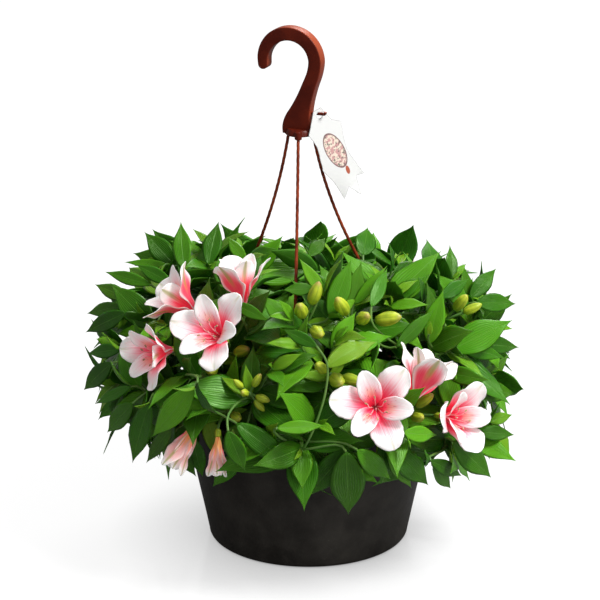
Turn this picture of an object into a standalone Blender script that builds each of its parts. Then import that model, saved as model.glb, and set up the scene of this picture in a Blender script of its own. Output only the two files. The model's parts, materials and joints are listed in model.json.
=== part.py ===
# Potted Peruvian lily: a mound of leafy shoots with pink and white blooms, in a round hanging pot.
# The pot stands on its flat base. Its moulded hook stands over it on three strands, with a blank label.
# Metres, +Z up, front towards -Y. The origin is the centre of the pot's underside.
import math
import random

import bmesh
import bpy
import numpy as np
from mathutils import Matrix, Vector
from mathutils.bvhtree import BVHTree

# Driving dimensions
GAP = 0.0003
CUT_PAST = 0.004
CUT_LENGTH = 0.020
WELD = 0.00001
TURN_STEPS = 36
POT_HEIGHT = 0.140
POT_BASE_RADIUS = 0.095
POT_TOP_RADIUS = 0.1245
POT_WALL = 0.0020
POT_FLOOR = 0.0030
POT_HEEL = 0.006
RIM_WIDTH = 0.0105
RIM_THICKNESS = 0.0028
DRAIN_RADIUS = 0.005
DRAIN_CIRCLE = 0.062
DRAIN_COUNT = 5
SOIL_TOP = 0.126
SOIL_CROWN = 0.005
ROOT_DEPTH = 0.018

HOOK_X = -0.0083
HOOK_Z = 0.3980
HOOK_YAW = -23.0
HOOK_THICKNESS = 0.012
HOOK_ARC_RADIUS = 0.0256
HOOK_ARC_CENTRE = (-0.0090, 0.0693)
HOOK_TIP_ANGLE = 190.0
HOOK_ARC_POINTS = 13
HOOK_TIP_HALF_WIDTH = 0.0049
HOOK_HALF_WIDTH = 0.0064
HOOK_NECK = [(0.0148, 0.0590, 0.0064), (0.0104, 0.0472, 0.0068), (0.0062, 0.0354, 0.0078),
             (0.0025, 0.0246, 0.0098), (-0.0003, 0.0148, 0.0130), (-0.0011, 0.0080, 0.0147)]
HOOK_FOOT = (-0.0012, 0.0008, 0.0143)
PEG_HEIGHT = 0.0215
PEG_RADIUS = 0.0015
PEG_ROOT = 0.0040
PEG_LENGTH = 0.0240
PEG_HANG = 0.0194
BOSS_RADIUS = 0.0034
BOSS_CIRCLE = 0.0136
BOSS_DROP = 0.0018
BOSS_HEIGHT = 0.0078
SOCKET_DEPTH = 0.0065
SOCKET_SPARE = 0.0006
CAP_RADIUS = 0.0138
CAP_TOP_RADIUS = 0.0122
CAP_HEIGHT = 0.0062
HOOK_EDGE = 0.0010
HOOK_FLARE = 0.0012

STRAND_RADIUS = 0.0016
STRAND_ANGLES = {"strand_front": -97.0, "strand_right": 23.0, "strand_left": 143.0}
STRAND_CIRCLE = 0.1295
STRAND_HEAD_RADIUS = 0.0031
STRAND_HEAD_END_RADIUS = 0.0022
STRAND_HEAD_HEIGHT = 0.0045
STRAND_HOLE_SPARE = 0.0007
STRAND_LEAN = 0.20

LABEL_THICKNESS = 0.0008
LABEL_LEAN = 21.0
LABEL_YAW = 30.0
LABEL_OUTLINE = [(-0.0045, 0.0062), (0.0040, 0.0062), (0.0105, -0.0100), (0.0190, -0.0165), (0.0158, -0.0340),
                 (0.0152, -0.0460), (0.0190, -0.0610), (0.0235, -0.0765), (0.0152, -0.0740), (0.0130, -0.0940),
                 (0.0035, -0.0800), (-0.0045, -0.0895), (-0.0085, -0.0700), (-0.0158, -0.0520),
                 (-0.0132, -0.0280), (-0.0172, -0.0130)]
LABEL_HOLE_RADIUS = 0.0032
LABEL_HOLE_SIDES = 14
LABEL_SLACK = 0.0004

# The mound of foliage
SEED = 20
SHOOT_COUNT = 31
SHOOT_PLACES = 24
SHOOT_SPACING = 0.050
STEM_RADIUS = 0.0021
STEM_CLEAR = 0.0012
STEM_HOLE_RADIUS = 0.00336
STEM_HOLE_LENGTH = 0.050
STEM_OVER_RIM = 0.168
HUB_RADIUS = 0.0032
DOME_RADIUS = 0.170
DOME_CENTRE = 0.160
DOME_RISE = 0.098
DOME_SKIRT = 104.0
DOME_EDGE_SHARE = 1.35
DOME_SQUARENESS = 0.75
BASE_CIRCLE = 0.084
BASE_CIRCLE_UNTIL = 0.155
LEAVES_PER_SHOOT = 12
LEAF_TRIES = 40
LEAF_LENGTH = 0.083
LEAF_ASPECT = 0.42
LEAF_SHARES = (0.72, 0.84, 0.94, 1.0, 1.02)
LEAF_THICKNESS = 0.0012
LEAF_CLEAR = 0.0010
FOLIAGE_RADIUS = 0.220
FOLIAGE_CENTRE = 0.165
FOLIAGE_RISE = 0.136
FOLIAGE_FLOOR = 0.062
LIGHT_ROWS = 40
LIGHT_COLUMNS = 150
LIGHT_CENTRE = 0.130
LIGHT_FLOOR = -0.30
LEAST_LIGHT = 5
GOLDEN_ANGLE = math.pi * (3 - math.sqrt(5))

TEPAL_LENGTH = 0.053
OUTER_TEPAL_WIDTH = 0.0305
INNER_TEPAL_WIDTH = 0.0220
INNER_TEPAL_SHARE = 0.95
TEPAL_THICKNESS = 0.0012
THROAT_FOOT_RADIUS = 0.0034
THROAT_RADIUS = 0.0056
THROAT_LENGTH = 0.009
PEDICEL_RADIUS = 0.0013
OVARY_RADIUS = 0.0031
OVARY_LENGTH = 0.008
BUD_RADIUS = 0.0060
BUD_LENGTH = 0.025
CLOSED_BLOOM = 30.0
ROUND_ABOVE = 0.0045

# Umbels: where the flower stalks meet (mm), blooms as (name, foot mm, facing, opening degrees, size),
# buds as (direction, reach mm, size)
UMBELS = {
    "left": ((-85, -64, 200),
             [("left_front", (-78, -107, 233), (-0.45, -0.68, 0.58), 88, 1.0),
              ("left_high", (-104, -60, 243), (-0.80, 0.02, 0.60), 62, 1.0),
              ("left_low", (-126, -92, 218), (-0.78, -0.60, 0.05), 66, 0.92),
              ("left_upright", (-60, -76, 256), (-0.10, 0.12, 1.0), 46, 0.95)],
             [((-0.10, -0.90, 0.05), 50, 1.0), ((0.62, -0.70, 0.42), 50, 0.9), ((0.30, -0.45, 0.85), 46, 0.8)]),
    "right": ((84, -108, 158),
              [("right_front", (60, -151, 183), (0.0, -0.92, 0.40), 90, 1.0),
               ("right_high", (95, -138, 186), (0.38, 0.24, 0.90), 48, 1.0),
               ("right_low", (121, -114, 161), (0.66, -0.70, 0.22), 68, 0.95)],
              [((0.45, -0.85, 0.30), 44, 0.8), ((0.72, -0.30, 0.65), 42, 0.9)]),
    "low": ((-74, -122, 168),
            [("low_drooping", (-100, -134, 162), (-0.52, -0.25, -0.80), 17, 0.96),
             ("low_small", (-83, -146, 153), (-0.03, -0.35, -0.93), 20, 0.70)],
            [((0.35, -0.85, 0.10), 30, 0.75)]),
    "centre": ((-4, -92, 243),
               [],
               [((-0.10, -0.72, 0.62), 46, 1.05), ((0.12, -0.35, 0.93), 46, 1.0), ((0.30, -0.93, 0.10), 50, 1.0)]),
    "middle": ((40, -88, 241),
               [],
               [((-0.35, -0.55, 0.78), 44, 1.05), ((-0.02, -0.50, 0.87), 42, 1.0), ((0.84, -0.56, 0.34), 52, 1.1)]),
    "front": ((19, -138, 209),
              [],
              [((-0.38, -0.75, 0.62), 34, 0.85), ((0.05, -0.95, 0.30), 36, 0.9), ((0.72, -0.64, 0.42), 38, 1.1)]),
    "cluster": ((-54, -150, 196),
                [],
                [((-0.30, -0.90, 0.40), 22, 0.6), ((0.35, -0.90, 0.30), 22, 0.6), ((0.0, -0.72, 0.75), 23, 0.6),
                 ((-0.60, -0.50, 0.65), 21, 0.5), ((0.05, -1.0, -0.15), 21, 0.55)]),
    "east": ((128, -14, 218),
             [], [((0.50, -0.42, 0.80), 42, 0.9), ((0.85, -0.20, 0.50), 40, 0.8)]),
    "back_left": ((-84, 92, 166),
                  [("back_left_high", (-92, 136, 190), (-0.35, 0.78, 0.45), 78, 1.0),
                   ("back_left_low", (-126, 98, 172), (-0.85, 0.50, 0.20), 66, 0.95)],
                  [((0.35, 0.80, 0.50), 44, 0.95)]),
    "back_right": ((86, 94, 160),
                   [("back_right_high", (84, 138, 186), (0.10, 0.85, 0.42), 80, 1.0)],
                   [((0.80, 0.45, 0.42), 44, 1.0), ((0.50, 0.20, 0.85), 42, 0.85)]),
}


def unit(v):
    v = np.asarray(v, float)
    return v / np.linalg.norm(v)


def turned(v, axis, angle):
    """v turned about a unit axis by an angle in radians."""
    c, s = math.cos(angle), math.sin(angle)
    return v * c + np.cross(axis, v) * s + axis * (v @ axis) * (1 - c)


# Blades: leaves and tepals share one form, a thin arched sheet folded along its rib

LEAF_STATIONS = (0.0, 0.3, 0.68)
INNER_LEAF_STATIONS = (0.0, 0.45)
TEPAL_STATIONS = (0.0, 0.40, 0.80)
INNER_TEPAL_STATIONS = (0.0, 0.58)
NECK = 0.12


def leaf_outline(t):
    """Half width of a leaf along its length, as a share of the widest."""
    return 0.02 * (1 - t) + 0.99 * math.sin(math.pi * t ** 0.8) ** 0.85


def outer_tepal_outline(t):
    return 0.16 * (1 - t) + 0.99 * math.sin(math.pi * t ** 1.75) ** 0.72


def inner_tepal_outline(t):
    return 0.17 * (1 - t) + 0.98 * math.sin(math.pi * t ** 1.5) ** 0.85


def blade_frame(blade, t):
    """Centre, across and face directions of a blade at t of its length."""
    angle = blade["bend"] * t
    along, face = blade["along"], blade["face"]
    if abs(blade["bend"]) < 1e-4:
        centre = blade["root"] + blade["length"] * t * along
    else:
        centre = blade["root"] + blade["length"] / blade["bend"] * (
            along * math.sin(angle) - face * (1 - math.cos(angle)))
    ahead = along * math.cos(angle) - face * math.sin(angle)
    up = face * math.cos(angle) + along * math.sin(angle)
    across = turned(np.cross(ahead, up), ahead, blade["twist"] * t)
    return centre, across, np.cross(across, ahead)


def blade_cage(blade, stations, thickness, margin=0.0):
    """Points and triangles of a blade: left edge, rib, right edge and underside at each station, then the tip."""
    points = []
    for t in stations:
        centre, across, up = blade_frame(blade, t)
        half = blade["width"] / 2 * blade["outline"](t) + margin
        rise = up * (half * blade["fold"])
        points += [centre - across * half + rise, centre + up * thickness / 2,
                   centre + across * half + rise, centre - up * thickness / 2]
    points.append(blade_frame(blade, 1.0)[0])
    triangles = [(0, 3, 1), (3, 2, 1)]
    for k in range(len(stations) - 1):
        for j in range(4):
            a, b = 4 * k + j, 4 * k + (j + 1) % 4
            c, d = b + 4, a + 4
            triangles += [(a, b, c), (a, c, d)] if j % 2 == 0 else [(a, b, d), (b, c, d)]
    last, tip = 4 * (len(stations) - 1), 4 * len(stations)
    triangles += [(last + j, last + (j + 1) % 4, tip) for j in range(4)]
    return np.array(points), triangles


def room_cage(blade, thickness, margin):
    """A blade past its neck, thickened and widened, for tests of the room round it."""
    return blade_cage(blade, (NECK,) + blade["stations"][1:], thickness, margin)


# Room for every piece: blades are tested as meshes, and round stalks by their distance

class Room:
    """What is already placed in the mound."""

    def __init__(self):
        self.blades = []
        self.starts = np.zeros((0, 3))
        self.ends = np.zeros((0, 3))
        self.radii = np.zeros(0)
        self.owners = []
        self.balls = []

    def add_blade(self, points, triangles):
        centre = points.mean(0)
        reach = np.linalg.norm(points - centre, axis=1).max()
        tree = BVHTree.FromPolygons([tuple(p) for p in points], triangles)
        self.blades.append((tree, centre, reach))

    def add_line(self, points, radii, owner=None):
        points, radii = np.asarray(points, float), np.asarray(radii, float)
        self.starts = np.vstack([self.starts, points[:-1]])
        self.ends = np.vstack([self.ends, points[1:]])
        self.radii = np.concatenate([self.radii, np.maximum(radii[:-1], radii[1:])])
        self.owners += [owner] * (len(points) - 1)

    def add_ball(self, centre, radius):
        self.balls.append((np.asarray(centre, float), radius))

    def meets_blade(self, points, triangles):
        centre = points.mean(0)
        reach = np.linalg.norm(points - centre, axis=1).max()
        near = [b for b in self.blades if np.linalg.norm(b[1] - centre) < b[2] + reach]
        if not near:
            return False
        tree = BVHTree.FromPolygons([tuple(p) for p in points], triangles)
        return any(tree.overlap(other) for other, _, _ in near)

    def meets_line(self, points, spare, owner=None):
        """True if a point comes within spare of a stalk that has another owner."""
        if not len(self.radii):
            return False
        others = np.array([owner is None or o != owner for o in self.owners])
        starts, ends, radii = self.starts[others], self.ends[others], self.radii[others]
        if not len(radii):
            return False
        span = ends - starts
        share = np.einsum("psk,sk->ps", points[:, None, :] - starts, span)
        share = share / np.maximum((span ** 2).sum(1), 1e-12)
        nearest = starts + np.clip(share, 0, 1)[:, :, None] * span
        distance = np.linalg.norm(points[:, None, :] - nearest, axis=2)
        return bool((distance < radii + spare).any())

    def meets_ball(self, points):
        return any((np.linalg.norm(points - c, axis=1) < r).any() for c, r in self.balls)


def blade_samples(blade, first=0.15):
    """Points over a blade, close enough together to feel a stalk."""
    found = []
    for t in np.linspace(first, 1.0, 8):
        centre, across, up = blade_frame(blade, t)
        half = blade["width"] / 2 * blade["outline"](min(t, 0.97))
        for s in (-half, -half / 2, 0, half / 2, half):
            found.append(centre + across * s + up * (abs(s) * blade["fold"]))
    return np.array(found)


def bezier(points, count):
    """Points along a cubic curve."""
    a, b, c, d = (np.asarray(p, float) for p in points)
    found = []
    for t in np.linspace(0, 1, count):
        found.append(a * (1 - t) ** 3 + b * 3 * t * (1 - t) ** 2 + c * 3 * t * t * (1 - t) + d * t ** 3)
    return np.array(found)


def soil_height(radius):
    return SOIL_TOP + SOIL_CROWN * max(0.0, 1 - (radius / POT_TOP_RADIUS) ** 2)


# Strands

def strand_route(angle):
    """Centre line of a strand, from its socket in the hook down through its hole in the rim."""
    out = np.array([math.cos(math.radians(angle)), math.sin(math.radians(angle)), 0.0])
    hook = np.array([HOOK_X, 0, 0])
    top = hook + out * BOSS_CIRCLE + np.array([0, 0, HOOK_Z - BOSS_DROP + SOCKET_DEPTH - 0.0004])
    mouth = np.array([top[0], top[1], HOOK_Z - BOSS_DROP - 0.001])
    hole = out * STRAND_CIRCLE
    below = hole + np.array([0, 0, POT_HEIGHT - RIM_THICKNESS - GAP])
    above = hole + np.array([0, 0, POT_HEIGHT + 0.002])
    down = np.array([0, 0, -1.0])
    side = unit((hole - mouth) * (1, 1, 0))
    span = (hole - mouth) @ side
    drop = mouth[2] - above[2] - 0.016
    aim = unit(down + side * (2 * span / drop - STRAND_LEAN))
    near = above - down * 0.016 - aim * 0.014
    third = (mouth[2] - near[2]) / 3
    end = 2 * ((near - mouth) @ side) / (3 * third) - STRAND_LEAN
    long = bezier([mouth, mouth + (down + side * STRAND_LEAN) * third, near - (down + side * end) * third, near], 9)
    short = bezier([near, near + aim * 0.010, above + np.array([0, 0, 0.009]), above], 4)
    return np.vstack([[top], long, short[1:], [below]])


# Shoots: where each comes out of the soil, where it ends and how it leans

def dome_places():
    """Places over the mound for shoots' ends, evenly by area, as (radius, height, lean from upright)."""
    slope = np.linspace(0.02, math.radians(DOME_SKIRT), 500)
    radius = DOME_RADIUS * np.sin(slope) ** DOME_SQUARENESS
    height = DOME_CENTRE + DOME_RISE * np.sign(np.cos(slope)) * np.abs(np.cos(slope)) ** DOME_SQUARENESS
    run, fall = np.gradient(radius), -np.gradient(height)
    area = np.cumsum(radius ** DOME_EDGE_SHARE * np.hypot(run, fall))
    found = []
    for i in range(SHOOT_PLACES):
        k = int(np.searchsorted(area, area[-1] * (i + 0.35) / SHOOT_PLACES))
        found.append((radius[k], height[k], 0.5 * math.atan2(fall[k], run[k]) + 0.55 * slope[k]))
    return found


def shoot_to(name, tip, axis):
    """A shoot that comes up through the soil under its end and curves out to it."""
    radius = math.hypot(tip[0], tip[1])
    outward = np.array([tip[0], tip[1], 0.0]) / max(radius, 1e-6)
    base_radius = BASE_CIRCLE * min(1.0, radius / BASE_CIRCLE_UNTIL) ** 0.85
    foot = outward * base_radius
    top = soil_height(base_radius)
    deep = foot + np.array([0, 0, top - ROOT_DEPTH])
    rise = foot + np.array([0, 0, top + 0.004])
    span = np.linalg.norm(tip - rise)
    lift = np.array([0, 0, 0.45 * span + max(0.0, STEM_OVER_RIM - tip[2])])
    curve = bezier([rise, rise + lift, tip - axis * 0.38 * span, tip], 6)
    return {"name": name, "tip": tip, "axis": axis, "foot": foot, "path": np.vstack([[deep], curve])}


def flowering_shoots():
    """The shoots that end at the umbels."""
    shoots = []
    for name, (centre, blooms, buds) in UMBELS.items():
        tip = np.array(centre, float) / 1000
        aims = [np.array(b[1]) / 1000 - tip for b in blooms] + [unit(d) * r / 1000 for d, r, _ in buds]
        axis = unit(unit(sum(aims)) + np.array([0, 0, 0.4]))
        shoots.append(shoot_to(name, tip - axis * (HUB_RADIUS + GAP), axis))
    return shoots


def leafy_shoots(room, shoots):
    """Shoots without flowers, which fill the mound between the others by the golden angle."""
    for i, (radius, height, lean) in reversed(list(enumerate(dome_places()))):
        for turn in range(30):
            swing = i * GOLDEN_ANGLE + 0.6 + math.radians(3.0 * turn) * (1 if turn % 2 else -1)
            out = np.array([math.cos(swing), math.sin(swing), 0.0])
            tip = out * radius + np.array([0, 0, height])
            shoot = shoot_to("", tip, out * math.sin(lean) + np.array([0, 0, math.cos(lean)]))
            line = dense(shoot["path"])
            crowded = min(np.linalg.norm(tip - s["tip"]) for s in shoots) < SHOOT_SPACING
            touching = room.meets_line(line, STEM_RADIUS + STEM_CLEAR) or touches_blade(room, line, STEM_RADIUS)
            if crowded or touching:
                continue
            shoots.append(shoot)
            room.add_line(shoot["path"], [STEM_RADIUS] * len(shoot["path"]), len(shoots) - 1)
            break
        if len(shoots) == SHOOT_COUNT:
            break
    return shoots


def dense(path):
    """Points along a path, close together."""
    return np.vstack([a + (b - a) * t for a, b in zip(path[:-1], path[1:]) for t in (0, 0.25, 0.5, 0.75)])


def point_on(path, back):
    """Point and direction on a shoot, a length back from its end."""
    for a, b in zip(path[:0:-1], path[-2::-1]):
        step = np.linalg.norm(a - b)
        if back <= step:
            return a + (b - a) * back / step, unit(a - b)
        back -= step
    return None, None


# Flowers

def tepals_of(bloom):
    """Six blades on two rings round the bloom's axis: three broad outer tepals and three narrow inner ones."""
    _, _, facing, opening, size = bloom["spec"]
    axis = unit(facing)
    side = unit(np.cross(axis, [0.13, 0.21, 0.97]))
    side = turned(side, axis, bloom["roll"])
    found = []
    for k in range(6):
        outer = k % 2 == 0
        out = turned(side, axis, k * math.pi / 3)
        start = math.radians(20 if outer else 7)
        if opening < CLOSED_BLOOM:
            start = math.radians(5 if outer else 2)
        end = math.radians(opening if outer else opening - 9)
        reach = 1.0 if outer else INNER_TEPAL_SHARE
        width = OUTER_TEPAL_WIDTH if outer else INNER_TEPAL_WIDTH
        along = axis * math.cos(start) + out * math.sin(start)
        found.append({
            "root": bloom["foot"] + axis * 0.0005 + out * (0.0022 if outer else 0.0012) * size,
            "along": along,
            "face": axis * math.sin(start) - out * math.cos(start),
            "length": TEPAL_LENGTH * size * reach * bloom["scale"],
            "width": width * size * bloom["scale"] * (1.0 if opening >= CLOSED_BLOOM else 0.72),
            "bend": max(end - start, 0.05),
            "twist": 0.0,
            "fold": 0.06 if outer else 0.16,
            "outline": outer_tepal_outline if outer else inner_tepal_outline,
            "stations": TEPAL_STATIONS if outer else INNER_TEPAL_STATIONS,
        })
    return found


def stalk_to(umbel, foot, facing):
    """Flower stalk from the umbel's centre to a flower's foot, with the ovary at its end."""
    axis = unit(facing)
    ovary = foot - axis * OVARY_LENGTH
    span = np.linalg.norm(ovary - umbel)
    start = umbel + unit(ovary - umbel) * 0.001
    lead = unit(unit(ovary - umbel) + np.array([0, 0, 0.2]))
    curve = bezier([start, start + lead * span * 0.35, ovary - axis * span * 0.30, ovary], 4)
    return np.vstack([curve, [ovary + axis * OVARY_LENGTH * 0.45, foot - axis * GAP]])


STALK_RADII = [PEDICEL_RADIUS] * 4 + [OVARY_RADIUS, OVARY_RADIUS * 0.75]
BUD_PROFILE = [(0.0, 0.56), (0.28, 1.0), (0.64, 0.90), (1.0, 0.13)]


def bud_line(umbel, direction, reach, size):
    """Centre line and radii of a bud with its stalk: stalk, ovary, then the closed tepals to their point."""
    aim = unit(direction)
    length = BUD_LENGTH * size
    foot = umbel + aim * (reach / 1000 - length)
    lead = unit(aim * 0.6 + np.array([0, 0, 0.5]))
    span = np.linalg.norm(foot - umbel)
    curve = bezier([umbel + aim * 0.001, umbel + lead * span * 0.3, foot - aim * span * 0.35, foot], 3)
    points = list(curve) + [foot + aim * length * s for s, _ in BUD_PROFILE[1:]]
    radii = [PEDICEL_RADIUS * 0.85] * 2 + [BUD_RADIUS * size * r for _, r in BUD_PROFILE]
    return np.array(points), radii


def grow_flowers(room):
    """Places blooms and buds, and turns or shrinks a bloom that would touch another."""
    umbels = []
    for name, (centre, blooms, buds) in UMBELS.items():
        middle = np.array(centre, float) / 1000
        umbel = {"name": name, "centre": middle, "blooms": [], "stalks": [], "buds": []}
        for spec in blooms:
            bloom = {"spec": spec, "foot": np.array(spec[1], float) / 1000, "roll": 0.0, "scale": 1.0}
            for turn in range(40):
                bloom["roll"] = math.radians(9.0 * turn)
                bloom["scale"] = 1.0 - 0.05 * (turn // 13)
                cages = [room_cage(t, TEPAL_THICKNESS + 0.001, LEAF_CLEAR) for t in tepals_of(bloom)]
                samples = np.vstack([blade_samples(t, 0.3) for t in tepals_of(bloom)])
                if not any(room.meets_blade(*c) for c in cages) and not room.meets_line(samples, 0.004):
                    break
            for cage in cages:
                room.add_blade(*cage)
            axis = unit(spec[2])
            if spec[3] > CLOSED_BLOOM:
                room.add_ball(bloom["foot"] + axis * 0.042 * spec[4], 0.030 * spec[4])
                room.add_ball(bloom["foot"] + axis * 0.072 * spec[4], 0.026 * spec[4])
            stalk = stalk_to(middle, bloom["foot"], spec[2])
            umbel["stalks"].append(stalk)
            umbel["blooms"].append(bloom)
        for stalk in umbel["stalks"]:
            room.add_line(stalk, STALK_RADII)
        umbels.append(umbel)
    chance = random.Random(SEED + 1)
    for umbel in umbels:
        for direction, reach, size in UMBELS[umbel["name"]][2]:
            for turn in range(30):
                wobble = np.array([chance.uniform(-1, 1) for _ in range(3)]) * 0.03 * turn
                points, radii = bud_line(umbel["centre"], unit(direction) + wobble, reach, size)
                body = points[2:]
                touching = touches_blade(room, body, BUD_RADIUS * size)
                if not touching and not room.meets_line(body, BUD_RADIUS * size + 0.001):
                    break
            room.add_line(points, radii)
            room.add_ball(points[-1] + unit(direction) * 0.010, 0.013 * size)
            umbel["buds"].append((points, radii))
    return umbels


def touches_blade(room, points, radius):
    """True if a round stalk with these centre points comes too near a blade."""
    for tree, centre, reach in room.blades:
        for p in points:
            if np.linalg.norm(p - centre) < reach + radius + 0.002:
                found = tree.find_nearest(Vector(p), radius + 0.002)
                if found[0] is not None:
                    return True
    return False


# Leaves

def leaf_for(shoot, k, back, chance, looseness):
    """The k-th leaf from a shoot's end. Looseness from 0 to 1 lets it stray further from its usual place."""
    root, axis = point_on(shoot["path"], back)
    if root is None:
        return None
    side = unit(np.cross(axis, [0.31, 0.17, 0.93]))
    flowering = bool(shoot["name"])
    opening = 34 + 9.0 * k if not flowering else 52 + 5.0 * k
    opening = min(opening, 84) + 24 * looseness * chance.uniform(-1, 1)
    azimuth = k * GOLDEN_ANGLE + shoot["turn"] + math.radians(70) * looseness * chance.uniform(-1, 1)
    out = turned(side, axis, azimuth)
    tilt = math.radians(opening)
    along = axis * math.cos(tilt) + out * math.sin(tilt)
    towards_axis = axis * math.sin(tilt) - out * math.cos(tilt)
    sky = np.array([root[0] * 2.2, root[1] * 2.2, 0.55])
    face = towards_axis + 1.1 * unit(sky)
    face = unit(face - along * (face @ along))
    face = turned(face, along, math.radians(38) * looseness * chance.uniform(-1, 1))
    grown = LEAF_SHARES[min(k, len(LEAF_SHARES) - 1)]
    length = LEAF_LENGTH * grown * (1 + 0.12 * chance.uniform(-1, 1)) * (1 - 0.22 * looseness)
    aspect = LEAF_ASPECT * (1 + 0.13 * chance.uniform(-1, 1))
    return {
        "root": root - along * 0.001,
        "along": along,
        "face": face,
        "length": length,
        "width": length * aspect,
        "bend": math.radians(28 + 22 * chance.uniform(-1, 1)),
        "twist": math.radians(16 * chance.uniform(-1, 1)),
        "fold": 0.16 + 0.08 * chance.uniform(-1, 1),
        "outline": leaf_outline,
        "stations": LEAF_STATIONS if k < 7 else INNER_LEAF_STATIONS,
    }


def within_mound(points):
    """True if a leaf is inside the mound's outline, above its lowest edge and clear of the pot and soil."""
    radius = np.hypot(points[:, 0], points[:, 1])
    height = points[:, 2]
    rise = np.maximum(height - FOLIAGE_CENTRE, 0) / FOLIAGE_RISE
    outside = (radius / FOLIAGE_RADIUS) ** 3.4 + rise ** 2.4 > 1
    in_pot = (height < POT_HEIGHT + 0.005) & (radius < POT_TOP_RADIUS + RIM_WIDTH + 0.004)
    return not (outside | in_pot | (height < FOLIAGE_FLOOR)).any()


def nearness(points):
    """How near a leaf is to the mound's outline, from about a half deep inside to 1 at the outline."""
    radius = np.hypot(points[:, 0], points[:, 1]) / FOLIAGE_RADIUS
    rise = np.maximum(points[:, 2] - FOLIAGE_CENTRE, 0) / FOLIAGE_RISE
    return 0.4 + 0.6 * float(np.minimum(np.maximum(radius, rise) ** 1.5, 1.0).mean())


def leaf_fits(room, shoot, leaf):
    samples = blade_samples(leaf)
    if not within_mound(samples) or room.meets_ball(samples):
        return False
    if room.meets_line(samples, 0.0034, shoot["key"]) or room.meets_line(blade_samples(leaf, 0.35), 0.002):
        return False
    return not room.meets_blade(*room_cage(leaf, LEAF_THICKNESS + 0.0012, LEAF_CLEAR))


class Light:
    """Which parts of the mound's surface still see the sky, in even cells round its middle."""

    def __init__(self):
        self.open = np.ones((LIGHT_ROWS, LIGHT_COLUMNS), bool)

    def cells(self, points):
        arm = points - np.array([0, 0, LIGHT_CENTRE])
        turn = (np.arctan2(arm[:, 1], arm[:, 0]) / (2 * math.pi)) % 1.0
        rise = (arm[:, 2] / np.linalg.norm(arm, axis=1) - LIGHT_FLOOR) / (1 - LIGHT_FLOOR)
        row = np.clip((rise * LIGHT_ROWS).astype(int), 0, LIGHT_ROWS - 1)
        column = (turn * LIGHT_COLUMNS).astype(int) % LIGHT_COLUMNS
        return np.unique(np.stack([row, column], axis=1), axis=0)

    def gain(self, points):
        cells = self.cells(points)
        return int(self.open[cells[:, 0], cells[:, 1]].sum())

    def shade(self, points):
        cells = self.cells(points)
        self.open[cells[:, 0], cells[:, 1]] = False


def grow_leaves(room, shoots):
    """Leaves come in rounds, one on each shoot from its end down, each turned to where most light is left."""
    chance = random.Random(SEED)
    light = Light()
    for k in range(LEAVES_PER_SHOOT):
        for shoot in shoots:
            back = (0.003 if not shoot["name"] else 0.006) + 0.0062 * k ** 1.12
            if point_on(shoot["path"][2:], back + 0.010)[0] is None:
                continue
            best, gained = None, LEAST_LIGHT
            for turn in range(LEAF_TRIES):
                leaf = leaf_for(shoot, k, back, chance, turn / LEAF_TRIES)
                samples = blade_samples(leaf)
                gain = light.gain(samples) * (1.0 - 0.2 * turn / LEAF_TRIES) * nearness(samples)
                if gain > gained and leaf_fits(room, shoot, leaf):
                    best, gained = leaf, gain
            if best:
                room.add_blade(*room_cage(best, LEAF_THICKNESS + 0.0004, LEAF_CLEAR / 2))
                light.shade(blade_samples(best))
                shoot["leaves"].append(best)


def grow_plant():
    """The whole plant's layout: umbels with blooms and buds, and shoots with their leaves."""
    room = Room()
    for angle in STRAND_ANGLES.values():
        route = strand_route(angle)
        room.add_line(route, [STRAND_RADIUS] * len(route), "strand")
    shoots = flowering_shoots()
    for i, shoot in enumerate(shoots):
        room.add_line(shoot["path"], [STEM_RADIUS] * len(shoot["path"]), i)
    umbels = grow_flowers(room)
    leafy_shoots(room, shoots)
    chance = random.Random(SEED + 2)
    for i, shoot in enumerate(shoots):
        shoot["leaves"], shoot["key"] = [], i
        shoot["turn"] = chance.uniform(0, 2 * math.pi)
    grow_leaves(room, shoots)
    return umbels, shoots


# Blender objects

def material(name, colour, roughness):
    made = bpy.data.materials.new(name)
    made.use_nodes = True
    shader = made.node_tree.nodes["Principled BSDF"]
    shader.inputs["Base Color"].default_value = (*colour, 1.0)
    shader.inputs["Roughness"].default_value = roughness
    return made


def place(name, mesh, finish, home):
    obj = bpy.data.objects.new(name, mesh)
    home.objects.link(obj)
    if finish:
        mesh.materials.clear()
        mesh.materials.append(finish)
    return obj


def blade_object(name, blade, thickness, home):
    points, faces = blade_cage(blade, blade["stations"], thickness)
    mesh = bpy.data.meshes.new(name)
    mesh.from_pydata([tuple(p) for p in points], [], faces)
    return place(name, mesh, None, home)


def evaluated_mesh(obj):
    bpy.context.view_layer.update()
    return bpy.data.meshes.new_from_object(obj.evaluated_get(bpy.context.evaluated_depsgraph_get()))


def as_mesh(obj):
    """Turns an object, with its modifiers, into a plain mesh object of the same name."""
    mesh = evaluated_mesh(obj)
    shape = bmesh.new()
    shape.from_mesh(mesh)
    bmesh.ops.remove_doubles(shape, verts=shape.verts, dist=WELD)
    bmesh.ops.recalc_face_normals(shape, faces=shape.faces)
    shape.to_mesh(mesh)
    shape.free()
    name, home, world = obj.name, obj.users_collection[0], obj.matrix_world.copy()
    bpy.data.objects.remove(obj)
    made = bpy.data.objects.new(name, mesh)
    made.matrix_world = world
    home.objects.link(made)
    return made


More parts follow.
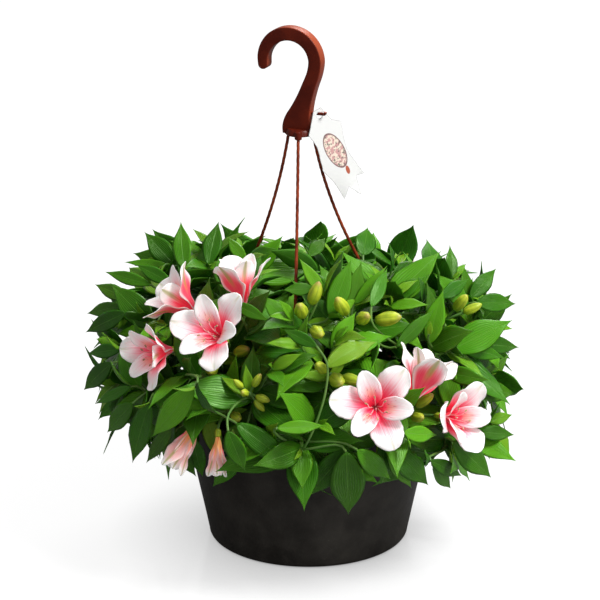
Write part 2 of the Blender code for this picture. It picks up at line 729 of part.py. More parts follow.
def combined(obj, others, operation, solver="EXACT"):
    """Joins other objects to this one, or cuts them from it, and removes them."""
    group = bpy.data.collections.new("tools")
    bpy.context.scene.collection.children.link(group)
    for other in others:
        for home in list(other.users_collection):
            home.objects.unlink(other)
        group.objects.link(other)
    modifier = obj.modifiers.new("Combine", "BOOLEAN")
    modifier.operation = operation
    modifier.operand_type = "COLLECTION"
    modifier.collection = group
    modifier.solver = solver
    mesh = evaluated_mesh(obj)
    finish = obj.data.materials[0] if obj.data.materials else None
    obj.modifiers.clear()
    obj.data = mesh
    mesh.materials.clear()
    if finish:
        mesh.materials.append(finish)
    for other in others:
        bpy.data.objects.remove(other)
    bpy.data.collections.remove(group)
    return obj


def tube(name, points, radii, finish, home, resolution=0):
    """A round bar along points, with its own radius at each."""
    curve = bpy.data.curves.new(name, "CURVE")
    curve.dimensions = "3D"
    curve.bevel_depth = 1.0
    curve.bevel_resolution = resolution
    curve.use_fill_caps = True
    spline = curve.splines.new("POLY")
    spline.points.add(len(points) - 1)
    for point, place_at, radius in zip(spline.points, points, radii):
        point.co = (*place_at, 1.0)
        point.radius = radius
    obj = bpy.data.objects.new(name, curve)
    home.objects.link(obj)
    obj = as_mesh(obj)
    if finish:
        obj.data.materials.append(finish)
    return obj


def lathed(name, profile, steps, finish, home):
    """A turned solid from a profile that starts and ends on the Z axis."""
    mesh = bpy.data.meshes.new(name)
    mesh.from_pydata([(r, 0, z) for r, z in profile], [(i, i + 1) for i in range(len(profile) - 1)], [])
    obj = place(name, mesh, finish, home)
    screw = obj.modifiers.new("Turn", "SCREW")
    screw.steps = screw.render_steps = steps
    screw.use_merge_vertices = True
    screw.merge_threshold = WELD
    return obj


def cylinder(name, radius, depth, centre, home, sides=16, axis=(0, 0, 1), top=None):
    mesh = bpy.data.meshes.new(name)
    shape = bmesh.new()
    bmesh.ops.create_cone(shape, cap_ends=True, cap_tris=False, segments=sides, radius1=radius,
                          radius2=radius if top is None else top, depth=depth)
    turn = Vector((0, 0, 1)).rotation_difference(Vector(axis)).to_matrix().to_4x4()
    bmesh.ops.transform(shape, matrix=Matrix.Translation(Vector(centre)) @ turn, verts=shape.verts)
    shape.to_mesh(mesh)
    shape.free()
    return place(name, mesh, None, home)


def pot_radius(height):
    """Outer radius of the pot's wall."""
    return POT_BASE_RADIUS + (POT_TOP_RADIUS - POT_BASE_RADIUS) * height / POT_HEIGHT


def make_pot(home):
    black = material("pot_plastic", (0.018, 0.016, 0.015), 0.62)
    inner = lambda z: pot_radius(z) - POT_WALL
    heel = [(pot_radius(POT_HEEL) - POT_HEEL * (1 - math.cos(a)), POT_HEEL * (1 - math.sin(a)))
            for a in (math.radians(d) for d in (0, 45, 90))]
    rim = POT_TOP_RADIUS + RIM_WIDTH
    profile = [(0, POT_FLOOR), (inner(POT_FLOOR) - 0.005, POT_FLOOR), (inner(0.009), 0.009),
               (inner(POT_HEIGHT), POT_HEIGHT - 0.0006), (inner(POT_HEIGHT) + 0.0006, POT_HEIGHT),
               (rim - 0.0008, POT_HEIGHT), (rim, POT_HEIGHT - 0.0008), (rim, POT_HEIGHT - 0.0060),
               (rim - 0.0014, POT_HEIGHT - 0.0060), (rim - 0.0016, POT_HEIGHT - RIM_THICKNESS),
               (pot_radius(POT_HEIGHT - RIM_THICKNESS), POT_HEIGHT - RIM_THICKNESS)]
    pot = as_mesh(lathed("pot", profile + heel + [(0, 0)], TURN_STEPS, black, home))
    pot.data.materials.clear()
    pot.data.materials.append(black)
    cutters = []
    for i in range(DRAIN_COUNT):
        angle = 2 * math.pi * i / DRAIN_COUNT
        centre = (DRAIN_CIRCLE * math.cos(angle), DRAIN_CIRCLE * math.sin(angle), POT_FLOOR / 2)
        cutters.append(cylinder("drain", DRAIN_RADIUS, CUT_LENGTH, centre, home, 8))
    for angle in STRAND_ANGLES.values():
        out = (math.cos(math.radians(angle)), math.sin(math.radians(angle)))
        centre = (STRAND_CIRCLE * out[0], STRAND_CIRCLE * out[1], POT_HEIGHT)
        cutters.append(cylinder("strand_hole", STRAND_RADIUS + STRAND_HOLE_SPARE, CUT_LENGTH, centre, home, 8))
    return combined(pot, cutters, "DIFFERENCE")


def make_soil(home, shoots):
    """Potting soil up to just below the rim, slightly crowned, with a plain hole for each stem."""
    brown = material("potting_soil", (0.030, 0.019, 0.012), 0.95)
    inner = lambda z: pot_radius(z) - POT_WALL - GAP
    low = POT_FLOOR + GAP
    profile = [(0, SOIL_TOP + SOIL_CROWN)]
    profile += [(r, soil_height(r)) for r in (0.040, 0.075, 0.100)]
    profile += [(inner(SOIL_TOP), SOIL_TOP), (inner(0.0095), 0.0095), (inner(low) - 0.0055, low), (0, low)]
    soil = as_mesh(lathed("soil", profile, TURN_STEPS, brown, home))
    soil.data.materials.clear()
    soil.data.materials.append(brown)
    holes = []
    for shoot in shoots:
        x, y, _ = shoot["foot"]
        low = shoot["path"][0][2] - GAP
        centre = (x, y, low + STEM_HOLE_LENGTH / 2)
        holes.append(cylinder("stem_hole", STEM_HOLE_RADIUS, STEM_HOLE_LENGTH, centre, home, 4))
    return combined(soil, holes, "DIFFERENCE")


def hook_outline():
    """Outline of the hook's plate: both sides of a centre line that widens from the tip to the foot."""
    centre_x, centre_z = HOOK_ARC_CENTRE
    line = []
    for k in range(HOOK_ARC_POINTS):
        share = k / (HOOK_ARC_POINTS - 1)
        angle = math.radians(HOOK_TIP_ANGLE * (1 - share))
        radius = HOOK_ARC_RADIUS + HOOK_FLARE * (1 - share)
        half = HOOK_TIP_HALF_WIDTH + (HOOK_HALF_WIDTH - HOOK_TIP_HALF_WIDTH) * min(1, share * 3)
        line.append((centre_x + radius * math.cos(angle), centre_z + radius * math.sin(angle), half))
    line += HOOK_NECK + [HOOK_FOOT]
    centres = np.array([(x, z) for x, z, _ in line])
    ahead = np.gradient(centres, axis=0)
    ahead /= np.linalg.norm(ahead, axis=1)[:, None]
    ahead[-3:] = (0, -1)
    side = np.stack([-ahead[:, 1], ahead[:, 0]], axis=1)
    half = np.array([h for _, _, h in line])[:, None]
    outer, inner = centres + side * half, centres - side * half
    start = math.atan2(-ahead[0][1], -ahead[0][0])
    nose = [centres[0] + HOOK_TIP_HALF_WIDTH * np.array([math.cos(start + a), math.sin(start + a)])
            for a in (math.radians(d) for d in (45, 0, -45))]
    return list(inner[::-1]) + nose + list(outer)


def make_hook(home):
    """Flat moulded hook on a small round cap, with three bosses for the strands and a peg for the label."""
    red_brown = material("hanger_plastic", (0.150, 0.030, 0.015), 0.38)
    curve = bpy.data.curves.new("hook", "CURVE")
    curve.dimensions = "2D"
    curve.fill_mode = "BOTH"
    curve.extrude = HOOK_THICKNESS / 2 - HOOK_EDGE
    curve.bevel_depth = HOOK_EDGE
    curve.bevel_resolution = 0
    curve.offset = -HOOK_EDGE
    outline = hook_outline()
    spline = curve.splines.new("POLY")
    spline.points.add(len(outline) - 1)
    for point, (x, z) in zip(spline.points, outline):
        point.co = (x, z, 0, 1)
    spline.use_cyclic_u = True
    plate = bpy.data.objects.new("hook", curve)
    home.objects.link(plate)
    plate.matrix_world = Matrix.Rotation(math.radians(90), 4, "X")
    plate = as_mesh(plate)
    plate.data.transform(plate.matrix_world)
    plate.matrix_world = Matrix.Identity(4)
    plate.data.materials.append(red_brown)
    cap_centre = (0, 0, 0.0002 + CAP_HEIGHT / 2)
    extras = [cylinder("cap", CAP_RADIUS, CAP_HEIGHT, cap_centre, home, 20, top=CAP_TOP_RADIUS)]
    sockets = []
    for angle in STRAND_ANGLES.values():
        turn = math.radians(angle - HOOK_YAW)
        x, y = BOSS_CIRCLE * math.cos(turn), BOSS_CIRCLE * math.sin(turn)
        boss_centre = (x, y, BOSS_HEIGHT / 2 - BOSS_DROP)
        extras.append(cylinder("boss", BOSS_RADIUS, BOSS_HEIGHT, boss_centre, home, 10))
        socket_centre = (x, y, SOCKET_DEPTH / 2 - BOSS_DROP - CUT_PAST / 2)
        depth = SOCKET_DEPTH + CUT_PAST
        sockets.append(cylinder("socket", STRAND_RADIUS + SOCKET_SPARE, depth, socket_centre, home, 8))
    peg = [(PEG_ROOT, 0, PEG_HEIGHT), (PEG_LENGTH - 0.0010, 0, PEG_HEIGHT), (PEG_LENGTH, 0, PEG_HEIGHT),
           (PEG_LENGTH + 0.0012, 0, PEG_HEIGHT + 0.0008), (PEG_LENGTH + 0.0016, 0, PEG_HEIGHT + 0.0022)]
    extras.append(tube("peg", peg, [PEG_RADIUS] * len(peg), None, home, 1))
    hook = combined(plate, extras, "UNION")
    hook = combined(hook, sockets, "DIFFERENCE")
    turn = Matrix.Rotation(math.radians(HOOK_YAW), 4, "Z")
    hook.data.transform(Matrix.Translation((HOOK_X, 0, HOOK_Z)) @ turn)
    return hook


def make_strands(home):
    """Three round strands from the hook's sockets to the rim, each with a head under its hole."""
    red_brown = material("strand_plastic", (0.200, 0.035, 0.012), 0.42)
    for name, angle in STRAND_ANGLES.items():
        route = strand_route(angle)
        strand = tube(name, route, [STRAND_RADIUS] * len(route), red_brown, home, 1)
        x, y, z = route[-1]
        centre = (x, y, z - STRAND_HEAD_HEIGHT / 2 + 0.00005)
        end, top = STRAND_HEAD_END_RADIUS, STRAND_HEAD_RADIUS
        head = cylinder("head", end, STRAND_HEAD_HEIGHT, centre, home, 12, top=top)
        combined(strand, [head], "UNION")


def make_label(home):
    """A blank label on the hook's peg, its edge against the right-hand strand."""
    white = material("label_card", (0.90, 0.90, 0.90), 0.45)
    curve = bpy.data.curves.new("label", "CURVE")
    curve.dimensions = "2D"
    curve.fill_mode = "BOTH"
    curve.extrude = LABEL_THICKNESS / 2
    turns = [2 * math.pi * k / LABEL_HOLE_SIDES for k in range(LABEL_HOLE_SIDES)]
    hole = [(LABEL_HOLE_RADIUS * math.cos(a), LABEL_HOLE_RADIUS * math.sin(a)) for a in turns]
    for outline in (LABEL_OUTLINE, hole):
        spline = curve.splines.new("POLY")
        spline.points.add(len(outline) - 1)
        for point, (x, z) in zip(spline.points, outline):
            point.co = (x, z, 0, 1)
        spline.use_cyclic_u = True
    label = bpy.data.objects.new("label", curve)
    home.objects.link(label)
    label = as_mesh(label)
    label.data.materials.append(white)
    yaw = math.radians(HOOK_YAW)
    hang = Vector((HOOK_X + PEG_HANG * math.cos(yaw), PEG_HANG * math.sin(yaw),
                   HOOK_Z + PEG_HEIGHT - LABEL_HOLE_RADIUS + PEG_RADIUS + LABEL_SLACK))
    turn = Matrix.Rotation(math.radians(LABEL_YAW), 4, "Z") @ Matrix.Rotation(math.radians(90), 4, "X")
    turn = turn @ Matrix.Rotation(math.radians(LABEL_LEAN), 4, "Z")
    label.data.transform(Matrix.Translation(hang) @ turn)
    return label


def make_shoot(name, shoot, finish, home):
    """A stem and its leaves, joined as one body."""
    radii = [STEM_RADIUS] * (len(shoot["path"]) - 1) + [STEM_RADIUS * 0.8]
    stem = tube(name, shoot["path"], radii, finish, home)
    leaves = [blade_object("leaf", leaf, LEAF_THICKNESS, home) for leaf in shoot["leaves"]]
    return combined(stem, leaves, "UNION", "MANIFOLD")


def make_umbel(name, umbel, finish, home):
    """Flower stalks with their ovaries, and stalked buds, joined on a small hub."""
    mesh = bpy.data.meshes.new(name)
    shape = bmesh.new()
    bmesh.ops.create_icosphere(shape, subdivisions=1, radius=HUB_RADIUS)
    bmesh.ops.translate(shape, vec=Vector(umbel["centre"]), verts=shape.verts)
    shape.to_mesh(mesh)
    shape.free()
    hub = place(name, mesh, finish, home)
    lines = [(stalk, STALK_RADII) for stalk in umbel["stalks"]] + umbel["buds"]
    stalks = []
    for points, radii in lines:
        stalks.append(tube("stalk", points, radii, None, home, 1 if max(radii) > ROUND_ABOVE else 0))
    return combined(hub, stalks, "UNION", "MANIFOLD")


def make_bloom(name, bloom, finish, home):
    """Six tepals joined on a small throat."""
    axis = unit(bloom["spec"][2])
    size = bloom["spec"][4]
    length = THROAT_LENGTH * size
    centre = bloom["foot"] + axis * length / 2
    throat = cylinder(name, THROAT_FOOT_RADIUS * size, length, centre, home, 6, axis, top=THROAT_RADIUS * size)
    throat.data.materials.append(finish)
    petals = [blade_object("tepal", tepal, TEPAL_THICKNESS, home) for tepal in tepals_of(bloom)]
    return combined(throat, petals, "UNION", "MANIFOLD")


def main():
    for obj in list(bpy.data.objects):
        bpy.data.objects.remove(obj)
    home = bpy.data.collections.new("potted_peruvian_lily")
    bpy.context.scene.collection.children.link(home)
    umbels, shoots = grow_plant()
    make_pot(home)
    make_soil(home, shoots)
    make_hook(home)
    make_strands(home)
    make_label(home)
    leaf_green = material("leaf", (0.045, 0.150, 0.022), 0.42)
    bud_green = material("bud", (0.300, 0.420, 0.040), 0.50)
    petal = material("petal", (0.90, 0.45, 0.52), 0.55)
    for i, shoot in enumerate(shoots):
        make_shoot(f"shoot_{i + 1:02d}", shoot, leaf_green, home)
    for umbel in umbels:
        make_umbel("umbel_" + umbel["name"], umbel, bud_green, home)
        for bloom in umbel["blooms"]:
            make_bloom("bloom_" + bloom["spec"][0], bloom, petal, home)


main()
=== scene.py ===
import json
import random
from math import atan2, cos, hypot, pi, radians, sin, sqrt

import bmesh
import bpy
import numpy as np
from mathutils import Matrix, Vector
from mathutils.bvhtree import BVHTree
from numpy.linalg import norm

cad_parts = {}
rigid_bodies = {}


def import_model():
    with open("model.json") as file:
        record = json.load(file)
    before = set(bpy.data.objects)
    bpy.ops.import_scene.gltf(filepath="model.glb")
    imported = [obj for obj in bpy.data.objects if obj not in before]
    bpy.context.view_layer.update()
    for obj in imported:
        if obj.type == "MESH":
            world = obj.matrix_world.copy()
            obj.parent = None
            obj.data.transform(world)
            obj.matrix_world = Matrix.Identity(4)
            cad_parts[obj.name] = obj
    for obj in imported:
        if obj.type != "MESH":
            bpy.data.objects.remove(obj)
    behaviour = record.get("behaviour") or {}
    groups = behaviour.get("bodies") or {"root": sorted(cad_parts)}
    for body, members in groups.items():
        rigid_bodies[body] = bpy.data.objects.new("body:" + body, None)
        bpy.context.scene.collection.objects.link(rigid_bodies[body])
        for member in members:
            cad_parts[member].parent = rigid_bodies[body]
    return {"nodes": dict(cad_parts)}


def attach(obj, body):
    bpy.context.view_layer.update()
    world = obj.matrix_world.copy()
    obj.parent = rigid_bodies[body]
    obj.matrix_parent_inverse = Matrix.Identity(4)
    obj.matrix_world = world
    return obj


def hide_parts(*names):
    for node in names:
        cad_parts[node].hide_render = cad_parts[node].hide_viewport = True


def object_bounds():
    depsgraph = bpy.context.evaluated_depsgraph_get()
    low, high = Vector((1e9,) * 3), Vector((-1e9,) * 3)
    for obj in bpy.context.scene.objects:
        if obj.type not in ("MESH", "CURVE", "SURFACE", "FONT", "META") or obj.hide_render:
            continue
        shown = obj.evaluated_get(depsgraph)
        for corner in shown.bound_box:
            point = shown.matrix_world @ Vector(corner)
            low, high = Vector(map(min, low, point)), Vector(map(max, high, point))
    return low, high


# Potted Peruvian lily. The layout of shoots, leaves, umbels and blooms is the same as in the part's source,
# and each is grown here as a finer piece. Metres, +Z up, front towards -Y.
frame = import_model()
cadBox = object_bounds()
print("frame loaded:", len(frame["nodes"]), "nodes")

goldenAngle = pi * (3 - sqrt(5))

# Sizes that the layout shares with the part
potSizes = {"height": 0.140, "baseRadius": 0.095, "topRadius": 0.1245, "wall": 0.0020, "floor": 0.0030,
            "heel": 0.006, "rimWidth": 0.0105, "rimThickness": 0.0028, "gap": 0.0003,
            "drainRadius": 0.005, "drainCircle": 0.062, "drainCount": 5,
            "rimEdge": [(0.0014, 0), (0.0004, 0.0004), (0, 0.0014), (0, 0.0052), (0.0004, 0.0059),
                        (0.0011, 0.0059), (0.0014, 0.0052)]}
soilSizes = {"top": 0.126, "crown": 0.005, "rootDepth": 0.018, "crumbs": 3600, "crumbSize": 0.0021}
hookSizes = {"x": -0.0083, "z": 0.3980, "yaw": -23.0, "thickness": 0.012, "edge": 0.0012,
             "arcRadius": 0.0256, "arcCentre": (-0.0090, 0.0693), "tipAngle": 190.0, "flare": 0.0012,
             "tipHalfWidth": 0.0049, "halfWidth": 0.0064,
             "neck": [(0.0148, 0.0590, 0.0064), (0.0104, 0.0472, 0.0068), (0.0062, 0.0354, 0.0078),
                      (0.0025, 0.0246, 0.0098), (-0.0003, 0.0148, 0.0130), (-0.0011, 0.0080, 0.0147)],
             "foot": (-0.0012, 0.0008, 0.0143), "capRadius": 0.0138, "capTopRadius": 0.0122,
             "capHeight": 0.0062, "bossRadius": 0.0034, "bossCircle": 0.0136, "bossHeight": 0.0078,
             "bossDrop": 0.0018, "socketDepth": 0.0065, "pegHeight": 0.0215, "pegRadius": 0.0015,
             "pegRoot": 0.0040, "pegLength": 0.0240, "pegHang": 0.0194}
strandSizes = {"radius": 0.0016, "holeSpare": 0.0007, "socketSpare": 0.0006, "circle": 0.1295, "lean": 0.20,
               "headRadius": 0.0031,
               "headEndRadius": 0.0022, "headHeight": 0.0045,
               "angles": {"strand_front": -97.0, "strand_right": 23.0, "strand_left": 143.0}}
moundSizes = {"seed": 20, "shootCount": 31, "shootPlaces": 24, "shootSpacing": 0.050, "stemRadius": 0.0021,
              "stemClear": 0.0012, "stemOverRim": 0.168, "hubRadius": 0.0032, "domeRadius": 0.170,
              "domeCentre": 0.160, "domeRise": 0.098, "domeSkirt": 104.0, "domeEdgeShare": 1.35,
              "domeSquareness": 0.75, "baseCircle": 0.084, "baseCircleUntil": 0.155, "foliageRadius": 0.220,
              "foliageCentre": 0.165, "foliageRise": 0.136, "foliageFloor": 0.062, "lightRows": 40,
              "lightColumns": 150, "lightCentre": 0.130, "lightFloor": -0.30, "leastLight": 5}
leafSizes = {"leavesPerShoot": 12, "tries": 40, "length": 0.083, "aspect": 0.42, "thickness": 0.0012,
             "clear": 0.0010, "neck": 0.12, "shares": (0.72, 0.84, 0.94, 1.0, 1.02),
             "stations": (0.0, 0.3, 0.68), "innerLeafStations": (0.0, 0.45)}
bloomSizes = {"length": 0.053, "thickness": 0.0012, "outerTepalWidth": 0.0305, "innerTepalWidth": 0.0220,
              "innerTepalShare": 0.95, "closedBloom": 30.0, "stations": (0.0, 0.40, 0.80),
              "innerTepalStations": (0.0, 0.58), "pedicelRadius": 0.0013, "ovaryRadius": 0.0031,
              "ovaryLength": 0.008, "stalkRadii": [0.0013, 0.0013, 0.0013, 0.0013, 0.0031, 0.0031 * 0.75]}
budSizes = {"radius": 0.0060, "length": 0.025, "swell": 1.04,
            "profile": [(0.0, 0.56), (0.28, 1.0), (0.64, 0.90), (1.0, 0.13)]}

# Umbels: where the flower stalks meet (mm), blooms as (name, foot mm, facing, opening degrees, size),
# buds as (direction, reach mm, size)
umbelPlan = {
    "left": ((-85, -64, 200),
             [("left_front", (-78, -107, 233), (-0.45, -0.68, 0.58), 88, 1.0),
              ("left_high", (-104, -60, 243), (-0.80, 0.02, 0.60), 62, 1.0),
              ("left_low", (-126, -92, 218), (-0.78, -0.60, 0.05), 66, 0.92),
              ("left_upright", (-60, -76, 256), (-0.10, 0.12, 1.0), 46, 0.95)],
             [((-0.10, -0.90, 0.05), 50, 1.0), ((0.62, -0.70, 0.42), 50, 0.9),
              ((0.30, -0.45, 0.85), 46, 0.8)]),
    "right": ((84, -108, 158),
              [("right_front", (60, -151, 183), (0.0, -0.92, 0.40), 90, 1.0),
               ("right_high", (95, -138, 186), (0.38, 0.24, 0.90), 48, 1.0),
               ("right_low", (121, -114, 161), (0.66, -0.70, 0.22), 68, 0.95)],
              [((0.45, -0.85, 0.30), 44, 0.8), ((0.72, -0.30, 0.65), 42, 0.9)]),
    "low": ((-74, -122, 168),
            [("low_drooping", (-100, -134, 162), (-0.52, -0.25, -0.80), 17, 0.96),
             ("low_small", (-83, -146, 153), (-0.03, -0.35, -0.93), 20, 0.70)],
            [((0.35, -0.85, 0.10), 30, 0.75)]),
    "centre": ((-4, -92, 243),
               [], [((-0.10, -0.72, 0.62), 46, 1.05), ((0.12, -0.35, 0.93), 46, 1.0),
                    ((0.30, -0.93, 0.10), 50, 1.0)]),
    "middle": ((40, -88, 241),
               [], [((-0.35, -0.55, 0.78), 44, 1.05), ((-0.02, -0.50, 0.87), 42, 1.0),
                    ((0.84, -0.56, 0.34), 52, 1.1)]),
    "front": ((19, -138, 209),
              [], [((-0.38, -0.75, 0.62), 34, 0.85), ((0.05, -0.95, 0.30), 36, 0.9),
                   ((0.72, -0.64, 0.42), 38, 1.1)]),
    "cluster": ((-54, -150, 196),
                [], [((-0.30, -0.90, 0.40), 22, 0.6), ((0.35, -0.90, 0.30), 22, 0.6),
                     ((0.0, -0.72, 0.75), 23, 0.6), ((-0.60, -0.50, 0.65), 21, 0.5),
                     ((0.05, -1.0, -0.15), 21, 0.55)]),
    "east": ((128, -14, 218),
             [], [((0.50, -0.42, 0.80), 42, 0.9), ((0.85, -0.20, 0.50), 40, 0.8)]),
    "back_left": ((-84, 92, 166),
                  [("back_left_high", (-92, 136, 190), (-0.35, 0.78, 0.45), 78, 1.0),
                   ("back_left_low", (-126, 98, 172), (-0.85, 0.50, 0.20), 66, 0.95)],
                  [((0.35, 0.80, 0.50), 44, 0.95)]),
    "back_right": ((86, 94, 160),
                   [("back_right_high", (84, 138, 186), (0.10, 0.85, 0.42), 80, 1.0)],
                   [((0.80, 0.45, 0.42), 44, 1.0), ((0.50, 0.20, 0.85), 42, 0.85)]),
}


def unit(v):
    v = np.asarray(v, float)
    return v / norm(v)


# Cross product of two vectors, quicker than numpy's own on single ones
def cross(a, b):
    return np.array([a[1] * b[2] - a[2] * b[1], a[2] * b[0] - a[0] * b[2], a[0] * b[1] - a[1] * b[0]])


# v turned about a unit axis by an angle in radians.
def turned(v, axis, angle):
    c, s = cos(angle), sin(angle)
    return v * c + cross(axis, v) * s + axis * (v @ axis) * (1 - c)


def upBy(height):
    return np.array([0, 0, height])


# Level direction at an angle from +X
def outAt(angle):
    return np.array([cos(angle), sin(angle), 0.0])


# Direction at an angle off an axis, towards another, and the one square to it
def tilted(axis, out, angle):
    return axis * cos(angle) + out * sin(angle), axis * sin(angle) - out * cos(angle)


# A direction across an axis
def sideOf(axis):
    return unit(cross(axis, [0.31, 0.17, 0.93]))


# A face direction made square to the blade
def squared(face, along):
    return unit(face - along * (face @ along))


# A random step, up to 1 along each axis
def shake(chance):
    return np.array([chance.uniform(-1, 1) for _ in range(3)])


# Leaves and tepals share one form, a thin arched sheet folded along its rib.
# Half width of a leaf along its length, as a share of the widest.
def leafOutline(t):
    return 0.02 * (1 - t) + 0.99 * sin(pi * t ** 0.8) ** 0.85


def outerTepalOutline(t):
    return 0.16 * (1 - t) + 0.99 * sin(pi * t ** 1.75) ** 0.72


def innerTepalOutline(t):
    return 0.17 * (1 - t) + 0.98 * sin(pi * t ** 1.5) ** 0.85


# Centre, across and face directions of a blade at t of its length.
def bladeFrame(blade, t):
    angle = blade["bend"] * t
    along, face = blade["along"], blade["face"]
    if abs(blade["bend"]) < 1e-4:
        centre = blade["root"] + blade["length"] * t * along
    else:
        centre = blade["root"] + blade["length"] / blade["bend"] * (
            along * sin(angle) - face * (1 - cos(angle)))
    ahead = along * cos(angle) - face * sin(angle)
    up = face * cos(angle) + along * sin(angle)
    across = turned(cross(ahead, up), ahead, blade["twist"] * t)
    return centre, across, cross(across, ahead)


# Points and triangles of a blade: left edge, rib, right edge and underside at each station, then the tip.
def bladeCage(blade, stations, thickness, margin=0.0):
    points = []
    for t in stations:
        centre, across, up = bladeFrame(blade, t)
        half = blade["width"] / 2 * blade["outline"](t) + margin
        rise = up * (half * blade["fold"])
        points += [centre - across * half + rise, centre + up * thickness / 2,
                   centre + across * half + rise, centre - up * thickness / 2]
    points.append(bladeFrame(blade, 1.0)[0])
    triangles = [(0, 3, 1), (3, 2, 1)]
    for k in range(len(stations) - 1):
        for j in range(4):
            a, b = 4 * k + j, 4 * k + (j + 1) % 4
            c, d = b + 4, a + 4
            triangles += [(a, b, c), (a, c, d)] if j % 2 == 0 else [(a, b, d), (b, c, d)]
    last, tip = 4 * (len(stations) - 1), 4 * len(stations)
    triangles += [(last + j, last + (j + 1) % 4, tip) for j in range(4)]
    return np.array(points), triangles


# A blade past its neck, thickened and widened, for tests of the room round it.
def roomCage(blade, thickness, margin):
    return bladeCage(blade, (leafSizes["neck"],) + blade["stations"][1:], thickness, margin)


# Middle of some points, and how far the furthest of them is from it
def ballRound(points):
    centre = points.mean(0)
    return centre, norm(points - centre, axis=1).max()


# What is already placed in the mound: blades are tested as meshes, and round stalks by their distance.
class Room:

    def __init__(self):
        self.blades = []
        self.marks, self.balls = np.zeros((0, 4)), np.zeros((0, 4))
        self.starts, self.ends, self.radii = np.zeros((0, 3)), np.zeros((0, 3)), np.zeros(0)
        self.owners = []

    def addBlade(self, points, triangles):
        centre, reach = ballRound(points)
        self.blades.append(BVHTree.FromPolygons([tuple(p) for p in points], triangles))
        self.marks = np.vstack([self.marks, [*centre, reach]])

    def near(self, centre, reach):
        away = norm(self.marks[:, :3] - centre, axis=1)
        return [self.blades[k] for k in np.flatnonzero(away < self.marks[:, 3] + reach)]

    def addLine(self, points, radii, owner=None):
        points, radii = np.asarray(points, float), np.asarray(radii, float)
        self.starts = np.vstack([self.starts, points[:-1]])
        self.ends = np.vstack([self.ends, points[1:]])
        self.radii = np.concatenate([self.radii, np.maximum(radii[:-1], radii[1:])])
        self.owners += [owner] * (len(points) - 1)

    def addBall(self, centre, radius):
        self.balls = np.vstack([self.balls, [*centre, radius]])

    def meetsBlade(self, points, triangles):
        near = self.near(*ballRound(points))
        if not near:
            return False
        tree = BVHTree.FromPolygons([tuple(p) for p in points], triangles)
        return any(tree.overlap(other) for other in near)

    # True if a point comes within spare of a stalk that has another owner.
    def meetsLine(self, points, spare, owner=None):
        if not len(self.radii):
            return False
        centre, reach = ballRound(points)
        reach += spare + 1e-6
        away = norm((self.starts + self.ends) / 2 - centre, axis=1)
        length = norm(self.ends - self.starts, axis=1)
        others = [k for k in np.flatnonzero(away < reach + self.radii + length / 2)
                  if owner is None or self.owners[k] != owner]
        if not others:
            return False
        starts, ends, radii = self.starts[others], self.ends[others], self.radii[others]
        span = ends - starts
        share = np.einsum("psk,sk->ps", points[:, None, :] - starts, span)
        share = share / np.maximum((span ** 2).sum(1), 1e-12)
        nearest = starts + np.clip(share, 0, 1)[:, :, None] * span
        distance = norm(points[:, None, :] - nearest, axis=2)
        return bool((distance < radii + spare).any())

    def meetsBall(self, points):
        centre, reach = ballRound(points)
        balls = self.balls[norm(self.balls[:, :3] - centre, axis=1) < reach + 1e-6 + self.balls[:, 3]]
        away = norm(points[:, None, :] - balls[:, :3], axis=2)
        return bool((away < balls[:, 3]).any())


# Points over a blade, close enough together to feel a stalk.
def bladeSamples(blade, first=0.15):
    found = []
    for t in np.linspace(first, 1.0, 8):
        centre, across, up = bladeFrame(blade, t)
        half = blade["width"] / 2 * blade["outline"](min(t, 0.97))
        for s in (-half, -half / 2, 0, half / 2, half):
            found.append(centre + across * s + up * (abs(s) * blade["fold"]))
    return np.array(found)


# Points along a cubic curve.
def bezier(points, count):
    a, b, c, d = (np.asarray(p, float) for p in points)
    found = []
    for t in np.linspace(0, 1, count):
        found.append(a * (1 - t) ** 3 + b * 3 * t * (1 - t) ** 2 + c * 3 * t * t * (1 - t) + d * t ** 3)
    return np.array(found)


def soilHeight(radius):
    return soilSizes["top"] + soilSizes["crown"] * max(0.0, 1 - (radius / potSizes["topRadius"]) ** 2)


# Centre line of a strand, from its socket in the hook down through its hole in the rim.
def strandRoute(angle):
    out = outAt(radians(angle))
    hook = np.array([hookSizes["x"], 0, 0])
    socket = hookSizes["z"] - hookSizes["bossDrop"] + hookSizes["socketDepth"] - 0.0004
    top = hook + out * hookSizes["bossCircle"] + upBy(socket)
    mouth = np.array([top[0], top[1], hookSizes["z"] - hookSizes["bossDrop"] - 0.001])
    hole = out * strandSizes["circle"]
    below = hole + upBy(potSizes["height"] - potSizes["rimThickness"] - potSizes["gap"])
    above = hole + upBy(potSizes["height"] + 0.002)
    down = upBy(-1.0)
    side = unit((hole - mouth) * (1, 1, 0))
    span = (hole - mouth) @ side
    drop = mouth[2] - above[2] - 0.016
    aim = unit(down + side * (2 * span / drop - strandSizes["lean"]))
    near = above - down * 0.016 - aim * 0.014
    third = (mouth[2] - near[2]) / 3
    end = 2 * ((near - mouth) @ side) / (3 * third) - strandSizes["lean"]
    long = bezier([mouth, mouth + (down + side * strandSizes["lean"]) * third,
                   near - (down + side * end) * third, near], 9)
    short = bezier([near, near + aim * 0.010, above + upBy(0.009), above], 4)
    return np.vstack([[top], long, short[1:], [below]])


